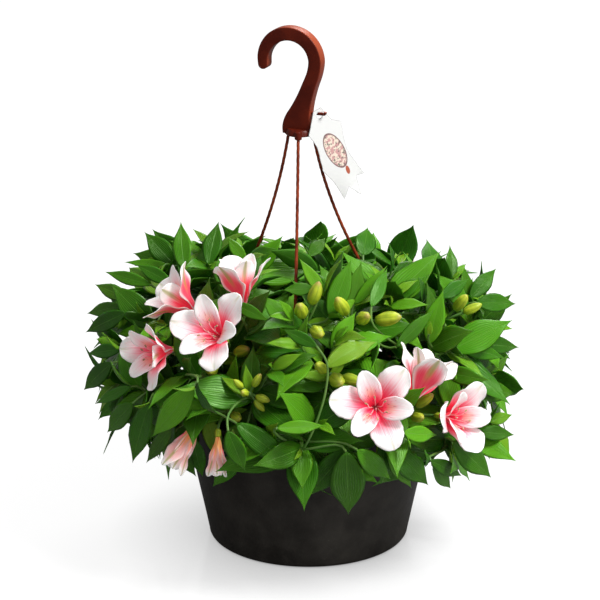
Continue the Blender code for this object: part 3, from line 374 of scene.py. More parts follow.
# Places over the mound for shoots' ends, evenly by area, as (radius, height, lean from upright).
def domePlaces(count, square=moundSizes["domeSquareness"]):
    slope = np.linspace(0.02, radians(moundSizes["domeSkirt"]), 500)
    radius = moundSizes["domeRadius"] * np.sin(slope) ** square
    rise = np.sign(np.cos(slope)) * np.abs(np.cos(slope)) ** square
    height = moundSizes["domeCentre"] + moundSizes["domeRise"] * rise
    run, fall = np.gradient(radius), -np.gradient(height)
    area = np.cumsum(radius ** moundSizes["domeEdgeShare"] * np.hypot(run, fall))
    found = []
    for i in range(count):
        k = int(np.searchsorted(area, area[-1] * (i + 0.35) / count))
        found.append((radius[k], height[k], 0.5 * atan2(fall[k], run[k]) + 0.55 * slope[k]))
    return found


# A shoot that comes up through the soil under its end and curves out to it.
def shootTo(name, tip, axis):
    radius = hypot(tip[0], tip[1])
    outward = np.array([tip[0], tip[1], 0.0]) / max(radius, 1e-6)
    baseRadius = moundSizes["baseCircle"] * min(1.0, radius / moundSizes["baseCircleUntil"]) ** 0.85
    foot = outward * baseRadius
    top = soilHeight(baseRadius)
    deep = foot + upBy(top - soilSizes["rootDepth"])
    rise = foot + upBy(top + 0.004)
    span = norm(tip - rise)
    lift = upBy(0.45 * span + max(0.0, moundSizes["stemOverRim"] - tip[2]))
    curve = bezier([rise, rise + lift, tip - axis * 0.38 * span, tip], 6)
    return {"name": name, "tip": tip, "axis": axis, "foot": foot, "path": np.vstack([[deep], curve])}


# The shoots that end at the umbels.
def floweringShoots():
    shoots = []
    for name, (centre, blooms, buds) in umbelPlan.items():
        tip = np.array(centre, float) / 1000
        aims = [np.array(b[1]) / 1000 - tip for b in blooms] + [unit(d) * r / 1000 for d, r, _ in buds]
        axis = unit(unit(sum(aims)) + upBy(0.4))
        shoots.append(shootTo(name, tip - axis * (moundSizes["hubRadius"] + potSizes["gap"]), axis))
    return shoots


# Shoots without flowers, which fill the mound between the others by the golden angle.
def leafyShoots(room, shoots):
    for i, (radius, height, lean) in reversed(list(enumerate(domePlaces(moundSizes["shootPlaces"])))):
        for turn in range(30):
            swing = i * goldenAngle + 0.6 + radians(3.0 * turn) * (1 if turn % 2 else -1)
            out = outAt(swing)
            tip = out * radius + upBy(height)
            shoot = shootTo("", tip, out * sin(lean) + upBy(cos(lean)))
            line = dense(shoot["path"])
            crowded = min(norm(tip - s["tip"]) for s in shoots) < moundSizes["shootSpacing"]
            close = room.meetsLine(line, moundSizes["stemRadius"] + moundSizes["stemClear"])
            if crowded or close or touchesBlade(room, line, moundSizes["stemRadius"]):
                continue
            shoots.append(shoot)
            room.addLine(shoot["path"], [moundSizes["stemRadius"]] * len(shoot["path"]), len(shoots) - 1)
            break
        if len(shoots) == moundSizes["shootCount"]:
            break
    return shoots


# Points along a path, close together.
def dense(path):
    return np.vstack([a + (b - a) * t for a, b in zip(path[:-1], path[1:]) for t in (0, 0.25, 0.5, 0.75)])


# Point and direction on a shoot, a length back from its end.
def pointOn(path, back):
    for a, b in zip(path[:0:-1], path[-2::-1]):
        step = norm(a - b)
        if back <= step:
            return a + (b - a) * back / step, unit(a - b)
        back -= step
    return None, None


# Six blades on two rings round the bloom's axis: three broad outer tepals and three narrow inner ones.
def tepalsOf(bloom):
    _, _, facing, opening, size = bloom["spec"]
    axis = unit(facing)
    side = turned(unit(cross(axis, [0.13, 0.21, 0.97])), axis, bloom["roll"])
    found = []
    for k in range(6):
        outer = k % 2 == 0
        out = turned(side, axis, k * pi / 3)
        start = radians(20 if outer else 7)
        if opening < bloomSizes["closedBloom"]:
            start = radians(5 if outer else 2)
        end = radians(opening if outer else opening - 9)
        reach = 1.0 if outer else bloomSizes["innerTepalShare"]
        width = bloomSizes["outerTepalWidth"] if outer else bloomSizes["innerTepalWidth"]
        along, face = tilted(axis, out, start)
        found.append({
            "root": bloom["foot"] + axis * 0.0005 + out * (0.0022 if outer else 0.0012) * size,
            "along": along, "face": face, "length": bloomSizes["length"] * size * reach * bloom["scale"],
            "width": width * size * bloom["scale"] * (1.0 if opening >= bloomSizes["closedBloom"] else 0.72),
            "bend": max(end - start, 0.05), "twist": 0.0, "fold": 0.06 if outer else 0.16,
            "outline": outerTepalOutline if outer else innerTepalOutline,
            "stations": bloomSizes["stations" if outer else "innerTepalStations"]})
    return found


# Flower stalk from the umbel's centre to a flower's foot, with the ovary at its end.
def stalkTo(umbel, foot, facing):
    axis = unit(facing)
    ovary = foot - axis * bloomSizes["ovaryLength"]
    span = norm(ovary - umbel)
    start = umbel + unit(ovary - umbel) * 0.001
    lead = unit(unit(ovary - umbel) + upBy(0.2))
    curve = bezier([start, start + lead * span * 0.35, ovary - axis * span * 0.30, ovary], 4)
    middle = ovary + axis * bloomSizes["ovaryLength"] * 0.45
    return np.vstack([curve, [middle, foot - axis * potSizes["gap"]]])


# Centre line and radii of a bud with its stalk: stalk, ovary, then the closed tepals to their point.
def budLine(umbel, direction, reach, size):
    aim = unit(direction)
    length = budSizes["length"] * size
    foot = umbel + aim * (reach / 1000 - length)
    lead = unit(aim * 0.6 + upBy(0.5))
    span = norm(foot - umbel)
    curve = bezier([umbel + aim * 0.001, umbel + lead * span * 0.3, foot - aim * span * 0.35, foot], 3)
    points = list(curve) + [foot + aim * length * s for s, _ in budSizes["profile"][1:]]
    radii = [bloomSizes["pedicelRadius"] * 0.85] * 2
    radii += [budSizes["radius"] * size * r for _, r in budSizes["profile"]]
    return np.array(points), radii


# Places blooms and buds, and turns or shrinks a bloom that would touch another.
def growFlowers(room):
    umbels = []
    for name, (centre, blooms, buds) in umbelPlan.items():
        middle = np.array(centre, float) / 1000
        umbel = {"name": name, "centre": middle, "blooms": [], "stalks": [], "buds": []}
        for spec in blooms:
            bloom = {"spec": spec, "foot": np.array(spec[1], float) / 1000, "roll": 0.0, "scale": 1.0}
            for turn in range(40):
                bloom["roll"] = radians(9.0 * turn)
                bloom["scale"] = 1.0 - 0.05 * (turn // 13)
                tepals = tepalsOf(bloom)
                cages = [roomCage(t, bloomSizes["thickness"] + 0.001, leafSizes["clear"]) for t in tepals]
                samples = np.vstack([bladeSamples(t, 0.3) for t in tepals])
                if not any(room.meetsBlade(*c) for c in cages) and not room.meetsLine(samples, 0.004):
                    break
            for cage in cages:
                room.addBlade(*cage)
            axis = unit(spec[2])
            if spec[3] > bloomSizes["closedBloom"]:
                room.addBall(bloom["foot"] + axis * 0.042 * spec[4], 0.030 * spec[4])
                room.addBall(bloom["foot"] + axis * 0.072 * spec[4], 0.026 * spec[4])
            stalk = stalkTo(middle, bloom["foot"], spec[2])
            umbel["stalks"].append(stalk)
            umbel["blooms"].append(bloom)
        for stalk in umbel["stalks"]:
            room.addLine(stalk, bloomSizes["stalkRadii"])
        umbels.append(umbel)
    chance = random.Random(moundSizes["seed"] + 1)
    for umbel in umbels:
        for direction, reach, size in umbelPlan[umbel["name"]][2]:
            for turn in range(30):
                wobble = shake(chance) * 0.03 * turn
                points, radii = budLine(umbel["centre"], unit(direction) + wobble, reach, size)
                body = points[2:]
                touching = touchesBlade(room, body, budSizes["radius"] * size)
                if not touching and not room.meetsLine(body, budSizes["radius"] * size + 0.001):
                    break
            room.addLine(points, radii)
            room.addBall(points[-1] + unit(direction) * 0.010, 0.013 * size)
            umbel["buds"].append((points, radii))
    return umbels


# True if a round stalk with these centre points comes too near a blade.
def touchesBlade(room, points, radius):
    return any(tree.find_nearest(Vector(p), radius + 0.002)[0] is not None
               for p in points for tree in room.near(p, radius + 0.002))


# The k-th leaf from a shoot's end. Looseness from 0 to 1 lets it stray further from its usual place.
def leafFor(shoot, k, back, chance, looseness):
    root, axis = pointOn(shoot["path"], back)
    if root is None:
        return None
    opening = 52 + 5.0 * k if shoot["name"] else 34 + 9.0 * k
    opening = min(opening, 84) + 24 * looseness * chance.uniform(-1, 1)
    azimuth = k * goldenAngle + shoot["turn"] + radians(70) * looseness * chance.uniform(-1, 1)
    along, face = tilted(axis, turned(sideOf(axis), axis, azimuth), radians(opening))
    face = squared(face + 1.1 * unit([root[0] * 2.2, root[1] * 2.2, 0.55]), along)
    face = turned(face, along, radians(38) * looseness * chance.uniform(-1, 1))
    grown = leafSizes["shares"][min(k, len(leafSizes["shares"]) - 1)]
    length = leafSizes["length"] * grown * (1 + 0.12 * chance.uniform(-1, 1)) * (1 - 0.22 * looseness)
    aspect = leafSizes["aspect"] * (1 + 0.13 * chance.uniform(-1, 1))
    return {"root": root - along * 0.001, "along": along, "face": face, "length": length,
            "width": length * aspect, "bend": radians(28 + 22 * chance.uniform(-1, 1)),
            "twist": radians(16 * chance.uniform(-1, 1)),
            "fold": 0.16 + 0.08 * chance.uniform(-1, 1), "outline": leafOutline,
            "stations": leafSizes["stations" if k < 7 else "innerLeafStations"]}


# True if a leaf is inside the mound's outline, above its lowest edge and clear of the pot and soil.
def withinMound(points, wide=3.4, tall=2.4, more=0.0):
    radius = np.hypot(points[:, 0], points[:, 1])
    height = points[:, 2]
    rise = np.maximum(height - moundSizes["foliageCentre"], 0) / (moundSizes["foliageRise"] + more)
    outside = (radius / moundSizes["foliageRadius"]) ** wide + rise ** tall > 1
    inPot = height < potSizes["height"] + 0.005
    inPot &= radius < potSizes["topRadius"] + potSizes["rimWidth"] + 0.004
    return not (outside | inPot | (height < moundSizes["foliageFloor"])).any()


# How near a leaf is to the mound's outline, from about a half deep inside to 1 at the outline.
def nearness(points):
    radius = np.hypot(points[:, 0], points[:, 1]) / moundSizes["foliageRadius"]
    rise = np.maximum(points[:, 2] - moundSizes["foliageCentre"], 0) / moundSizes["foliageRise"]
    return 0.4 + 0.6 * float(np.minimum(np.maximum(radius, rise) ** 1.5, 1.0).mean())


def leafFits(room, shoot, leaf):
    samples = bladeSamples(leaf)
    if not withinMound(samples) or room.meetsBall(samples):
        return False
    if room.meetsLine(samples, 0.0034, shoot["key"]) or room.meetsLine(bladeSamples(leaf, 0.35), 0.002):
        return False
    return not room.meetsBlade(*roomCage(leaf, leafSizes["thickness"] + 0.0012, leafSizes["clear"]))


# Which parts of the mound's surface still see the sky, in even cells round its middle.
class Light:

    def __init__(self):
        self.open = np.ones((moundSizes["lightRows"], moundSizes["lightColumns"]), bool)

    def cells(self, points):
        arm = points - upBy(moundSizes["lightCentre"])
        turn = (np.arctan2(arm[:, 1], arm[:, 0]) / (2 * pi)) % 1.0
        rise = (arm[:, 2] / norm(arm, axis=1) - moundSizes["lightFloor"]) / (1 - moundSizes["lightFloor"])
        row = np.clip((rise * moundSizes["lightRows"]).astype(int), 0, moundSizes["lightRows"] - 1)
        column = (turn * moundSizes["lightColumns"]).astype(int) % moundSizes["lightColumns"]
        return np.unique(np.stack([row, column], axis=1), axis=0)

    def gain(self, points):
        cells = self.cells(points)
        return int(self.open[cells[:, 0], cells[:, 1]].sum())

    def shade(self, points):
        cells = self.cells(points)
        self.open[cells[:, 0], cells[:, 1]] = False


# Leaves come in rounds, one on each shoot from its end down, each turned to where most light is left.
def growLeaves(room, shoots):
    chance = random.Random(moundSizes["seed"])
    light = Light()
    for k in range(leafSizes["leavesPerShoot"]):
        for shoot in shoots:
            back = (0.003 if not shoot["name"] else 0.006) + 0.0062 * k ** 1.12
            if pointOn(shoot["path"][2:], back + 0.010)[0] is None:
                continue
            best, gained = None, moundSizes["leastLight"]
            for turn in range(leafSizes["tries"]):
                leaf = leafFor(shoot, k, back, chance, turn / leafSizes["tries"])
                samples = bladeSamples(leaf)
                gain = light.gain(samples) * (1.0 - 0.2 * turn / leafSizes["tries"]) * nearness(samples)
                if gain > gained and leafFits(room, shoot, leaf):
                    best, gained = leaf, gain
            if best:
                room.addBlade(*roomCage(best, leafSizes["thickness"] + 0.0004, leafSizes["clear"] / 2))
                light.shade(bladeSamples(best))
                shoot["leaves"].append(best)


# The whole plant's layout: umbels with blooms and buds, and shoots with their leaves.
def growPlant():
    room = Room()
    for angle in strandSizes["angles"].values():
        route = strandRoute(angle)
        room.addLine(route, [strandSizes["radius"]] * len(route), "strand")
    shoots = floweringShoots()
    for i, shoot in enumerate(shoots):
        room.addLine(shoot["path"], [moundSizes["stemRadius"]] * len(shoot["path"]), i)
    umbels = growFlowers(room)
    leafyShoots(room, shoots)
    chance = random.Random(moundSizes["seed"] + 2)
    for i, shoot in enumerate(shoots):
        shoot["leaves"], shoot["key"] = [], i
        shoot["turn"] = chance.uniform(0, 2 * pi)
    growLeaves(room, shoots)
    return umbels, shoots, room


# A node tree that is being built, for Geometry Nodes or a material. fma(a, b, c) is a times b plus c.
class Nodes:

    def __init__(self, tree, shader=None):
        self.tree, self.shader = tree, shader

    def node(self, kind, feeds=None, out=0, **settings):
        made = self.tree.nodes.new(kind)
        for key, value in settings.items():
            setattr(made, key, value)
        for slot, value in (feeds or {}).items():
            if isinstance(value, bpy.types.NodeSocket):
                self.link(value, made.inputs[slot])
            else:
                made.inputs[slot].default_value = value
        return made.outputs[out]

    def link(self, source, target):
        self.tree.links.new(source, target)

    def calc(self, operation, *values):
        return self.node("ShaderNodeMath", dict(enumerate(values)), operation=operation)

    def mul(self, first, *others):
        for value in others:
            first = self.calc("MULTIPLY", first, value)
        return first

    def add(self, first, *others):
        for value in others:
            first = self.calc("ADD", first, value)
        return first

    def fma(self, a, b, c):
        return self.calc("MULTIPLY_ADD", a, b, c)

    def vec(self, operation, *values):
        return self.node("ShaderNodeVectorMath", dict(enumerate(values)), operation=operation)

    def scaled(self, vector, amount):
        return self.node("ShaderNodeVectorMath", {0: vector, 3: amount}, operation="SCALE")

    def spun(self, vector, axis, angle):
        return self.node("ShaderNodeVectorRotate", {"Vector": vector, "Axis": axis, "Angle": angle},
                         rotation_type="AXIS_ANGLE")

    def named(self, name, kind="FLOAT"):
        return self.node("GeometryNodeInputNamedAttribute", {"Name": name}, data_type=kind)

    def step(self, value, low, high):
        return self.node("ShaderNodeMapRange", {"Value": value, "From Min": low, "From Max": high},
                         interpolation_type="SMOOTHSTEP")

    def blend(self, factor, a, b, way="MIX"):
        return self.node("ShaderNodeMix", {0: factor, 6: a, 7: b}, 2, data_type="RGBA", blend_type=way)

    # Colours laid over one another, each by its own mask; a colour is a name in the look, or a socket
    def layered(self, look, base, *coats):
        for mask, colour in coats:
            base = self.blend(mask, *(look[c] if isinstance(c, str) else c for c in (base, colour)))
        return base

    def noise(self, vector, scale, detail=3.0, rough=0.55):
        return self.node("ShaderNodeTexNoise", {"Vector": vector, "Scale": scale, "Detail": detail,
                                                "Roughness": rough})

    def attribute(self, name):
        return self.node("ShaderNodeAttribute", out="Fac", attribute_name=name)

    def place(self):
        return self.node("ShaderNodeTexCoord", out="Object")

    def uv(self):
        return self.node("ShaderNodeUVMap", uv_map="UVMap")

    def parts(self, vector):
        made = self.tree.nodes.new("ShaderNodeSeparateXYZ")
        self.link(vector, made.inputs[0])
        return made.outputs

    def group(self, group, **values):
        made = self.tree.nodes.new("ShaderNodeGroup")
        made.node_tree = group
        for label, value in values.items():
            made.inputs[label].default_value = value
        return made.outputs

    # Colour, relief and, where it varies, roughness of the finished surface
    def paint(self, colour, relief, strength, distance, roughness=None):
        bump = self.node("ShaderNodeBump", {"Height": relief, "Strength": strength, "Distance": distance})
        self.link(colour, self.shader["Base Color"])
        self.link(bump, self.shader["Normal"])
        if roughness is not None:
            self.link(roughness, self.shader["Roughness"])


# Named inputs of a tree: each has the value it starts from, or its kind where it has none
def addInputs(tree, inputs):
    for label, value in inputs.items():
        kind = value if isinstance(value, str) else {int: "Int", float: "Float"}[type(value)]
        socket = tree.interface.new_socket(name=label, in_out="INPUT", socket_type="NodeSocket" + kind)
        if kind != value:
            socket.default_value = value


def growthTree(name, inputs):
    tree = bpy.data.node_groups.new(name, "GeometryNodeTree")
    tree.interface.new_socket(name="Geometry", in_out="OUTPUT", socket_type="NodeSocketGeometry")
    addInputs(tree, {"Geometry": "Geometry", **inputs, "Finish": "Material"})
    return Nodes(tree), tree.nodes.new("NodeGroupInput").outputs


def treeEnd(t, geometry, given):
    shaded = t.node("GeometryNodeSetShadeSmooth", {"Geometry": geometry, "Shade Smooth": True})
    whole = t.node("GeometryNodeRealizeInstances", {"Geometry": shaded})
    dressed = t.node("GeometryNodeSetMaterial", {"Geometry": whole, "Material": given["Finish"]})
    t.link(dressed, t.tree.nodes.new("NodeGroupOutput").inputs[0])
    return t.tree


def formOnPoints(t, given, points, **feeds):
    form = t.node("GeometryNodeObjectInfo", {"Object": given["Form"]}, "Geometry")
    return t.node("GeometryNodeInstanceOnPoints", {"Points": points, "Instance": form, **feeds})


def smoothLine(t, given, spacing):
    line = t.node("GeometryNodeMeshToCurve", {"Mesh": given["Geometry"]})
    line = t.node("GeometryNodeCurveSplineType", {"Curve": line}, spline_type="CATMULL_ROM")
    return t.node("GeometryNodeResampleCurve", {"Curve": line, "Length": spacing}, mode="LENGTH")


# Leaves and tepals: a flat form is set on each root, then bent, folded and twisted by its root's own values
def bladeTree():
    t, given = growthTree("blades", {"Form": "Object", "Thickness": 0.0006, "Ripple": 0.02})
    whole = t.node("GeometryNodeRealizeInstances", {"Geometry": formOnPoints(t, given, given["Geometry"])})
    u, v, share, side = (t.named(n) for n in ("u", "v", "share", "side"))
    root, along, face = (t.named(n, "FLOAT_VECTOR") for n in ("root", "along", "face"))
    length, half, bend, twist = (t.named(n) for n in ("length", "half", "bend", "twist"))
    fold, phase = t.named("fold"), t.named("phase")
    across0 = t.vec("CROSS_PRODUCT", along, face)
    angle = t.mul(bend, v)
    ahead = t.spun(along, across0, t.mul(angle, -1.0))
    across = t.spun(across0, ahead, t.mul(twist, v))
    up = t.vec("CROSS_PRODUCT", across, ahead)
    radius = t.calc("DIVIDE", length, bend)
    rise = t.scaled(along, t.mul(radius, t.calc("SINE", angle)))
    fall = t.scaled(face, t.mul(radius, t.calc("SUBTRACT", t.calc("COSINE", angle), 1.0)))
    centre = t.vec("ADD", root, t.vec("ADD", rise, fall))
    width = t.mul(half, share)
    edge = t.calc("SUBTRACT", t.calc("SQRT", t.fma(u, u, 0.03)), 0.17)
    # the margins ripple more than the rib, each blade in its own phase
    wave = t.calc("SINE", t.add(t.fma(v, 13.0, phase), t.mul(u, 1.7)))
    ripple = t.mul(wave, t.mul(u, u), t.mul(width, given["Ripple"]))
    height = t.add(t.mul(width, fold, edge), ripple, t.mul(side, given["Thickness"], 0.5))
    place = t.vec("ADD", t.vec("ADD", centre, t.scaled(across, t.mul(width, u))), t.scaled(up, height))
    return treeEnd(t, t.node("GeometryNodeSetPosition", {"Geometry": whole, "Position": place}), given)


# Stems, stalks and filaments: a round bar along each line, with its own radius at each point
def stalkTree():
    t, given = growthTree("stalks", {"Sides": 8, "Spacing": 0.004})
    line = smoothLine(t, given, given["Spacing"])
    ring = t.node("GeometryNodeCurvePrimitiveCircle", {"Resolution": given["Sides"], "Radius": 1.0})
    bar = t.node("GeometryNodeCurveToMesh", {"Curve": line, "Profile Curve": ring, "Scale": t.named("thick"),
                                             "Fill Caps": True})
    return treeEnd(t, bar, given)


# Buds, ovaries and anthers: one form set on each point, along its own axis and at its own size
def headTree():
    t, given = growthTree("heads", {"Form": "Object"})
    turn = t.node("FunctionNodeAlignRotationToVector", {"Vector": t.named("axis", "FLOAT_VECTOR")}, axis="Z")
    heads = formOnPoints(t, given, given["Geometry"], Rotation=turn, Scale=t.named("scale", "FLOAT_VECTOR"))
    return treeEnd(t, heads, given)


# Strands: a three-lobed bar, twisted evenly along its line
def strandTree():
    t, given = growthTree("strands", {"Radius": 0.0016, "Turns a metre": 60.0, "Lobe": 0.16})
    run = t.node("GeometryNodeSplineParameter", out="Length")
    turns = t.mul(run, given["Turns a metre"], 2 * pi)
    line = smoothLine(t, given, strandLook["spacing"])
    line = t.node("GeometryNodeSetCurveTilt", {"Curve": line, "Tilt": turns})
    ring = t.node("GeometryNodeCurvePrimitiveCircle", {"Resolution": strandLook["sides"], "Radius": 1.0})
    around = t.mul(t.node("GeometryNodeSplineParameter", out="Factor"), strandLook["lobes"] * 2 * pi)
    swell = t.fma(t.calc("COSINE", around), given["Lobe"], t.calc("SUBTRACT", 1.0, given["Lobe"]))
    spot = t.scaled(t.node("GeometryNodeInputPosition"), t.mul(swell, given["Radius"]))
    ring = t.node("GeometryNodeSetPosition", {"Geometry": ring, "Position": spot})
    bar = t.node("GeometryNodeCurveToMesh", {"Curve": line, "Profile Curve": ring, "Fill Caps": True})
    return treeEnd(t, bar, given)


# Soil crumbs: strewn over the top face, each turned and sized by chance
def crumbTree():
    t, given = growthTree("crumbs", {"Form": "Object", "Count a square metre": 60000.0, "Size": 0.002,
                                     "Seed": 7})
    top = t.calc("GREATER_THAN", t.parts(t.node("GeometryNodeInputNormal"))[2], 0.7)
    points = t.node("GeometryNodeDistributePointsOnFaces",
                    {"Mesh": given["Geometry"], "Selection": top, "Density": given["Count a square metre"],
                     "Seed": given["Seed"]})
    turn = t.node("FunctionNodeRandomValue", {0: (0, 0, 0), 1: (6.28, 6.28, 6.28), "Seed": given["Seed"]},
                  data_type="FLOAT_VECTOR")
    size = t.node("FunctionNodeRandomValue", {2: 0.4, 3: 1.5, "Seed": given["Seed"]}, 1, data_type="FLOAT")
    spin = t.node("FunctionNodeEulerToRotation", {0: turn})
    strewn = formOnPoints(t, given, points, Rotation=spin, Scale=t.mul(size, given["Size"]))
    both = t.tree.nodes.new("GeometryNodeJoinGeometry")
    for source in (given["Geometry"], strewn):
        t.link(source, both.inputs[0])
    return treeEnd(t, both.outputs[0], given)


scene = bpy.context.scene
workshop = bpy.data.collections.new("forms")
scene.collection.children.link(workshop)


# A piece of the finished object, from a mesh, with the calls that tie it to the part
def piece(name, mesh, node_name):
    obj = bpy.data.objects.new(name, mesh)
    scene.collection.objects.link(obj)
    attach(obj, "root")
    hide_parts(node_name)


# The mesh that a Geometry Nodes tree makes from another, with named inputs
def grown(start, tree, **settings):
    obj = formObject("grown", start)
    modifier = obj.modifiers.new("Grow", "NODES")
    modifier.node_group = tree
    for item in tree.interface.items_tree:
        if item.in_out == "INPUT" and item.name in settings:
            modifier[item.identifier] = settings[item.name]
    bpy.context.view_layer.update()
    graph = bpy.context.evaluated_depsgraph_get()
    mesh = bpy.data.meshes.new_from_object(obj.evaluated_get(graph), preserve_all_data_layers=True,
                                           depsgraph=graph)
    bpy.data.objects.remove(obj)
    return mesh


# Several meshes as one, with their materials, UV maps and attributes kept
def joined(meshes):
    objects = [formObject("joined", mesh) for mesh in meshes]
    first = objects[0]
    with bpy.context.temp_override(active_object=first, selected_editable_objects=objects, object=first):
        bpy.ops.object.join()
    mesh = first.data
    bpy.data.objects.remove(first)
    return mesh


# Loose points with a value of each kind at each, for the trees to grow from
def pointMesh(places, values, links=()):
    mesh = bpy.data.meshes.new("points")
    mesh.from_pydata([tuple(p) for p in places], list(links), [])
    for name, column in values.items():
        column = np.asarray(column, np.float32)
        kind, key = ("FLOAT", "value") if column.ndim == 1 else ("FLOAT_VECTOR", "vector")
        mesh.attributes.new(name, kind, "POINT").data.foreach_set(key, column.ravel())
    return mesh


def lineMesh(lines):
    places, thick, links = [], [], []
    for points, radii in lines:
        links += [(len(places) + i, len(places) + i + 1) for i in range(len(points) - 1)]
        places += list(points)
        thick += list(radii)
    return pointMesh(places, {"thick": thick}, links)


def formObject(name, mesh):
    obj = bpy.data.objects.new(name, mesh)
    workshop.objects.link(obj)
    return obj


# A flat closed blade in its own coordinates: u across from -1 to 1, v along from 0 to 1
def bladeForm(name, outline, columns, rows):
    marks, faces, uvs, under = [], [], [], []
    us = [sin(pi / 2 * x) * 0.5 + x * 0.5 for x in np.linspace(-1, 1, columns + 1)]
    vs = [0.45 * x + 0.55 * (1 - cos(pi * x)) / 2 for x in np.linspace(0, 1, rows + 1)][:-1]
    top, low = {}, {}
    for k, v in enumerate(vs):
        for i, u in enumerate(us):
            rim = i in (0, columns)
            top[k, i] = len(marks)
            marks.append((u, v, outline(v), 0.0 if rim else 1.0))
            low[k, i] = top[k, i]
            if not rim:
                low[k, i] = len(marks)
                marks.append((u, v, outline(v), -1.0))
    tip = len(marks)
    marks.append((0.0, 1.0, 0.0, 0.0))

    def add(corners, places, back):
        faces.append(corners)
        uvs.extend(places)
        under.extend([back] * len(corners))

    spot = lambda k, i: (us[i] * 0.5 + 0.5, vs[k])
    for i in range(columns):
        for k in range(len(vs) - 1):
            ring = [(k, i), (k, i + 1), (k + 1, i + 1), (k + 1, i)]
            add([top[c] for c in ring], [spot(*c) for c in ring], 0.0)
            add([low[c] for c in reversed(ring)], [spot(*c) for c in reversed(ring)], 1.0)
        last = len(vs) - 1
        middle = ((us[i] + us[i + 1]) * 0.25 + 0.5, 1.0)
        add([top[last, i], top[last, i + 1], tip], [spot(last, i), spot(last, i + 1), middle], 0.0)
        add([low[last, i + 1], low[last, i], tip], [spot(last, i + 1), spot(last, i), middle], 1.0)
    ring = [(low, 0, i) for i in range(columns + 1)] + [(top, 0, i) for i in range(columns - 1, 0, -1)]
    add([side[k, i] for side, k, i in ring], [spot(k, i) for _, k, i in ring], 1.0)
    mesh = bpy.data.meshes.new(name)
    mesh.from_pydata([(u, v * 4, s * 0.02) for u, v, _, s in marks], [], faces)
    for name, column in zip(("u", "v", "share", "side"), np.array(marks, np.float32).T):
        mesh.attributes.new(name, "FLOAT", "POINT").data.foreach_set("value", np.ascontiguousarray(column))
    mesh.uv_layers.new(name="UVMap").data.foreach_set("uv", np.array(uvs, np.float32).ravel())
    mesh.attributes.new("under", "FLOAT", "CORNER").data.foreach_set("value", np.array(under, np.float32))
    return formObject(name, mesh)


# A ribbed closed body along Z from 0 to 1, for buds, ovaries and anthers
def headForm(name, profile, ribs, depth, sides, rings, twist=0.0):
    heights, radii = zip(*profile)
    places, faces, uvs = [(0, 0, heights[0])], [], []
    levels = np.linspace(heights[0], heights[-1], rings + 2)[1:-1]
    for level in levels:
        reach = float(np.interp(level, heights, radii))
        for k in range(sides):
            turn = 2 * pi * k / sides
            rib = 1 - depth * (0.5 - 0.5 * cos(ribs * turn)) * sin(pi * min(level, 1.0)) ** 0.5
            turn += twist * level
            places.append((reach * rib * cos(turn), reach * rib * sin(turn), level))
    places.append((0, 0, heights[-1]))
    row = lambda r, k: 1 + r * sides + k % sides
    for k in range(sides):
        a, b = k / sides, (k + 1) / sides
        faces.append((0, row(0, k + 1), row(0, k)))
        uvs += [(a, 0), (b, levels[0]), (a, levels[0])]
        for r in range(rings - 1):
            faces.append((row(r, k), row(r, k + 1), row(r + 1, k + 1), row(r + 1, k)))
            uvs += [(a, levels[r]), (b, levels[r]), (b, levels[r + 1]), (a, levels[r + 1])]
        faces.append((row(rings - 1, k), row(rings - 1, k + 1), len(places) - 1))
        uvs += [(a, levels[-1]), (b, levels[-1]), (a, 1)]
    mesh = bpy.data.meshes.new(name)
    mesh.from_pydata(places, [], faces)
    mesh.uv_layers.new(name="UVMap").data.foreach_set("uv", np.array(uvs, np.float32).ravel())
    return formObject(name, mesh)


# Shader groups that several finishes share: numbers in, masks out
def maskGroup(name, inputs, results):
    tree = bpy.data.node_groups.new(name, "ShaderNodeTree")
    addInputs(tree, inputs)
    for label in results:
        tree.interface.new_socket(name=label, in_out="OUTPUT", socket_type="NodeSocketFloat")
    return Nodes(tree), tree.nodes.new("NodeGroupInput").outputs, tree.nodes.new("NodeGroupOutput").inputs


# Parallel veins that run from a blade's base to its tip, and its rib, from its UV map
def veinGroup():
    t, given, out = maskGroup("parallelVeins", {"Count": 7.0, "Rib width": 0.05, "Waver": 0.3},
                              ["Lines", "Rib", "Across", "Along"])
    u, v, _ = t.parts(t.uv())
    across = t.calc("ABSOLUTE", t.fma(u, 2.0, -1.0))
    drift = t.mul(t.calc("SUBTRACT", t.noise(t.place(), 110.0, 2.0), 0.5), given["Waver"])
    lane = t.add(t.mul(t.calc("POWER", across, 0.85), given["Count"]), drift)
    t.link(t.step(t.calc("PINGPONG", lane, 0.5), 0.30, 0.02), out["Lines"])
    t.link(t.step(across, given["Rib width"], 0.0), out["Rib"])
    t.link(across, out["Across"])
    t.link(v, out["Along"])
    return t.tree


# Soft patches of lighter and darker tone, with a finer grain
def mottleGroup():
    t, given, out = maskGroup("mottle", {"Patch": 40.0, "Grain": 600.0}, ["Patches", "Grains"])
    t.link(t.step(t.noise(t.place(), given["Patch"], 4.0), 0.32, 0.68), out["Patches"])
    t.link(t.noise(t.place(), given["Grain"], 3.0), out["Grains"])
    return t.tree


# Pale dust: fine specks and soft smears, thicker below a height
def dustGroup():
    t, given, out = maskGroup("dust", {"Height": 0.05, "Specks": 900.0, "Amount": 0.5}, ["Dust", "Smear"])
    low = t.step(t.parts(t.place())[2], given["Height"], 0.0)
    smear = t.step(t.noise(t.place(), 55.0, 6.0, 0.65), 0.42, 0.78)
    speck = t.step(t.noise(t.place(), given["Specks"], 2.0), 0.63, 0.74)
    dustAndLitEdge = t.mul(speck, t.fma(smear, 0.7, 0.3))
    t.link(t.mul(dustAndLitEdge, t.fma(low, 0.8, 0.2), given["Amount"]), out["Dust"])
    t.link(t.mul(smear, t.fma(low, 0.75, 0.25)), out["Smear"])
    return t.tree


veins, mottle, dust = veinGroup(), mottleGroup(), dustGroup()


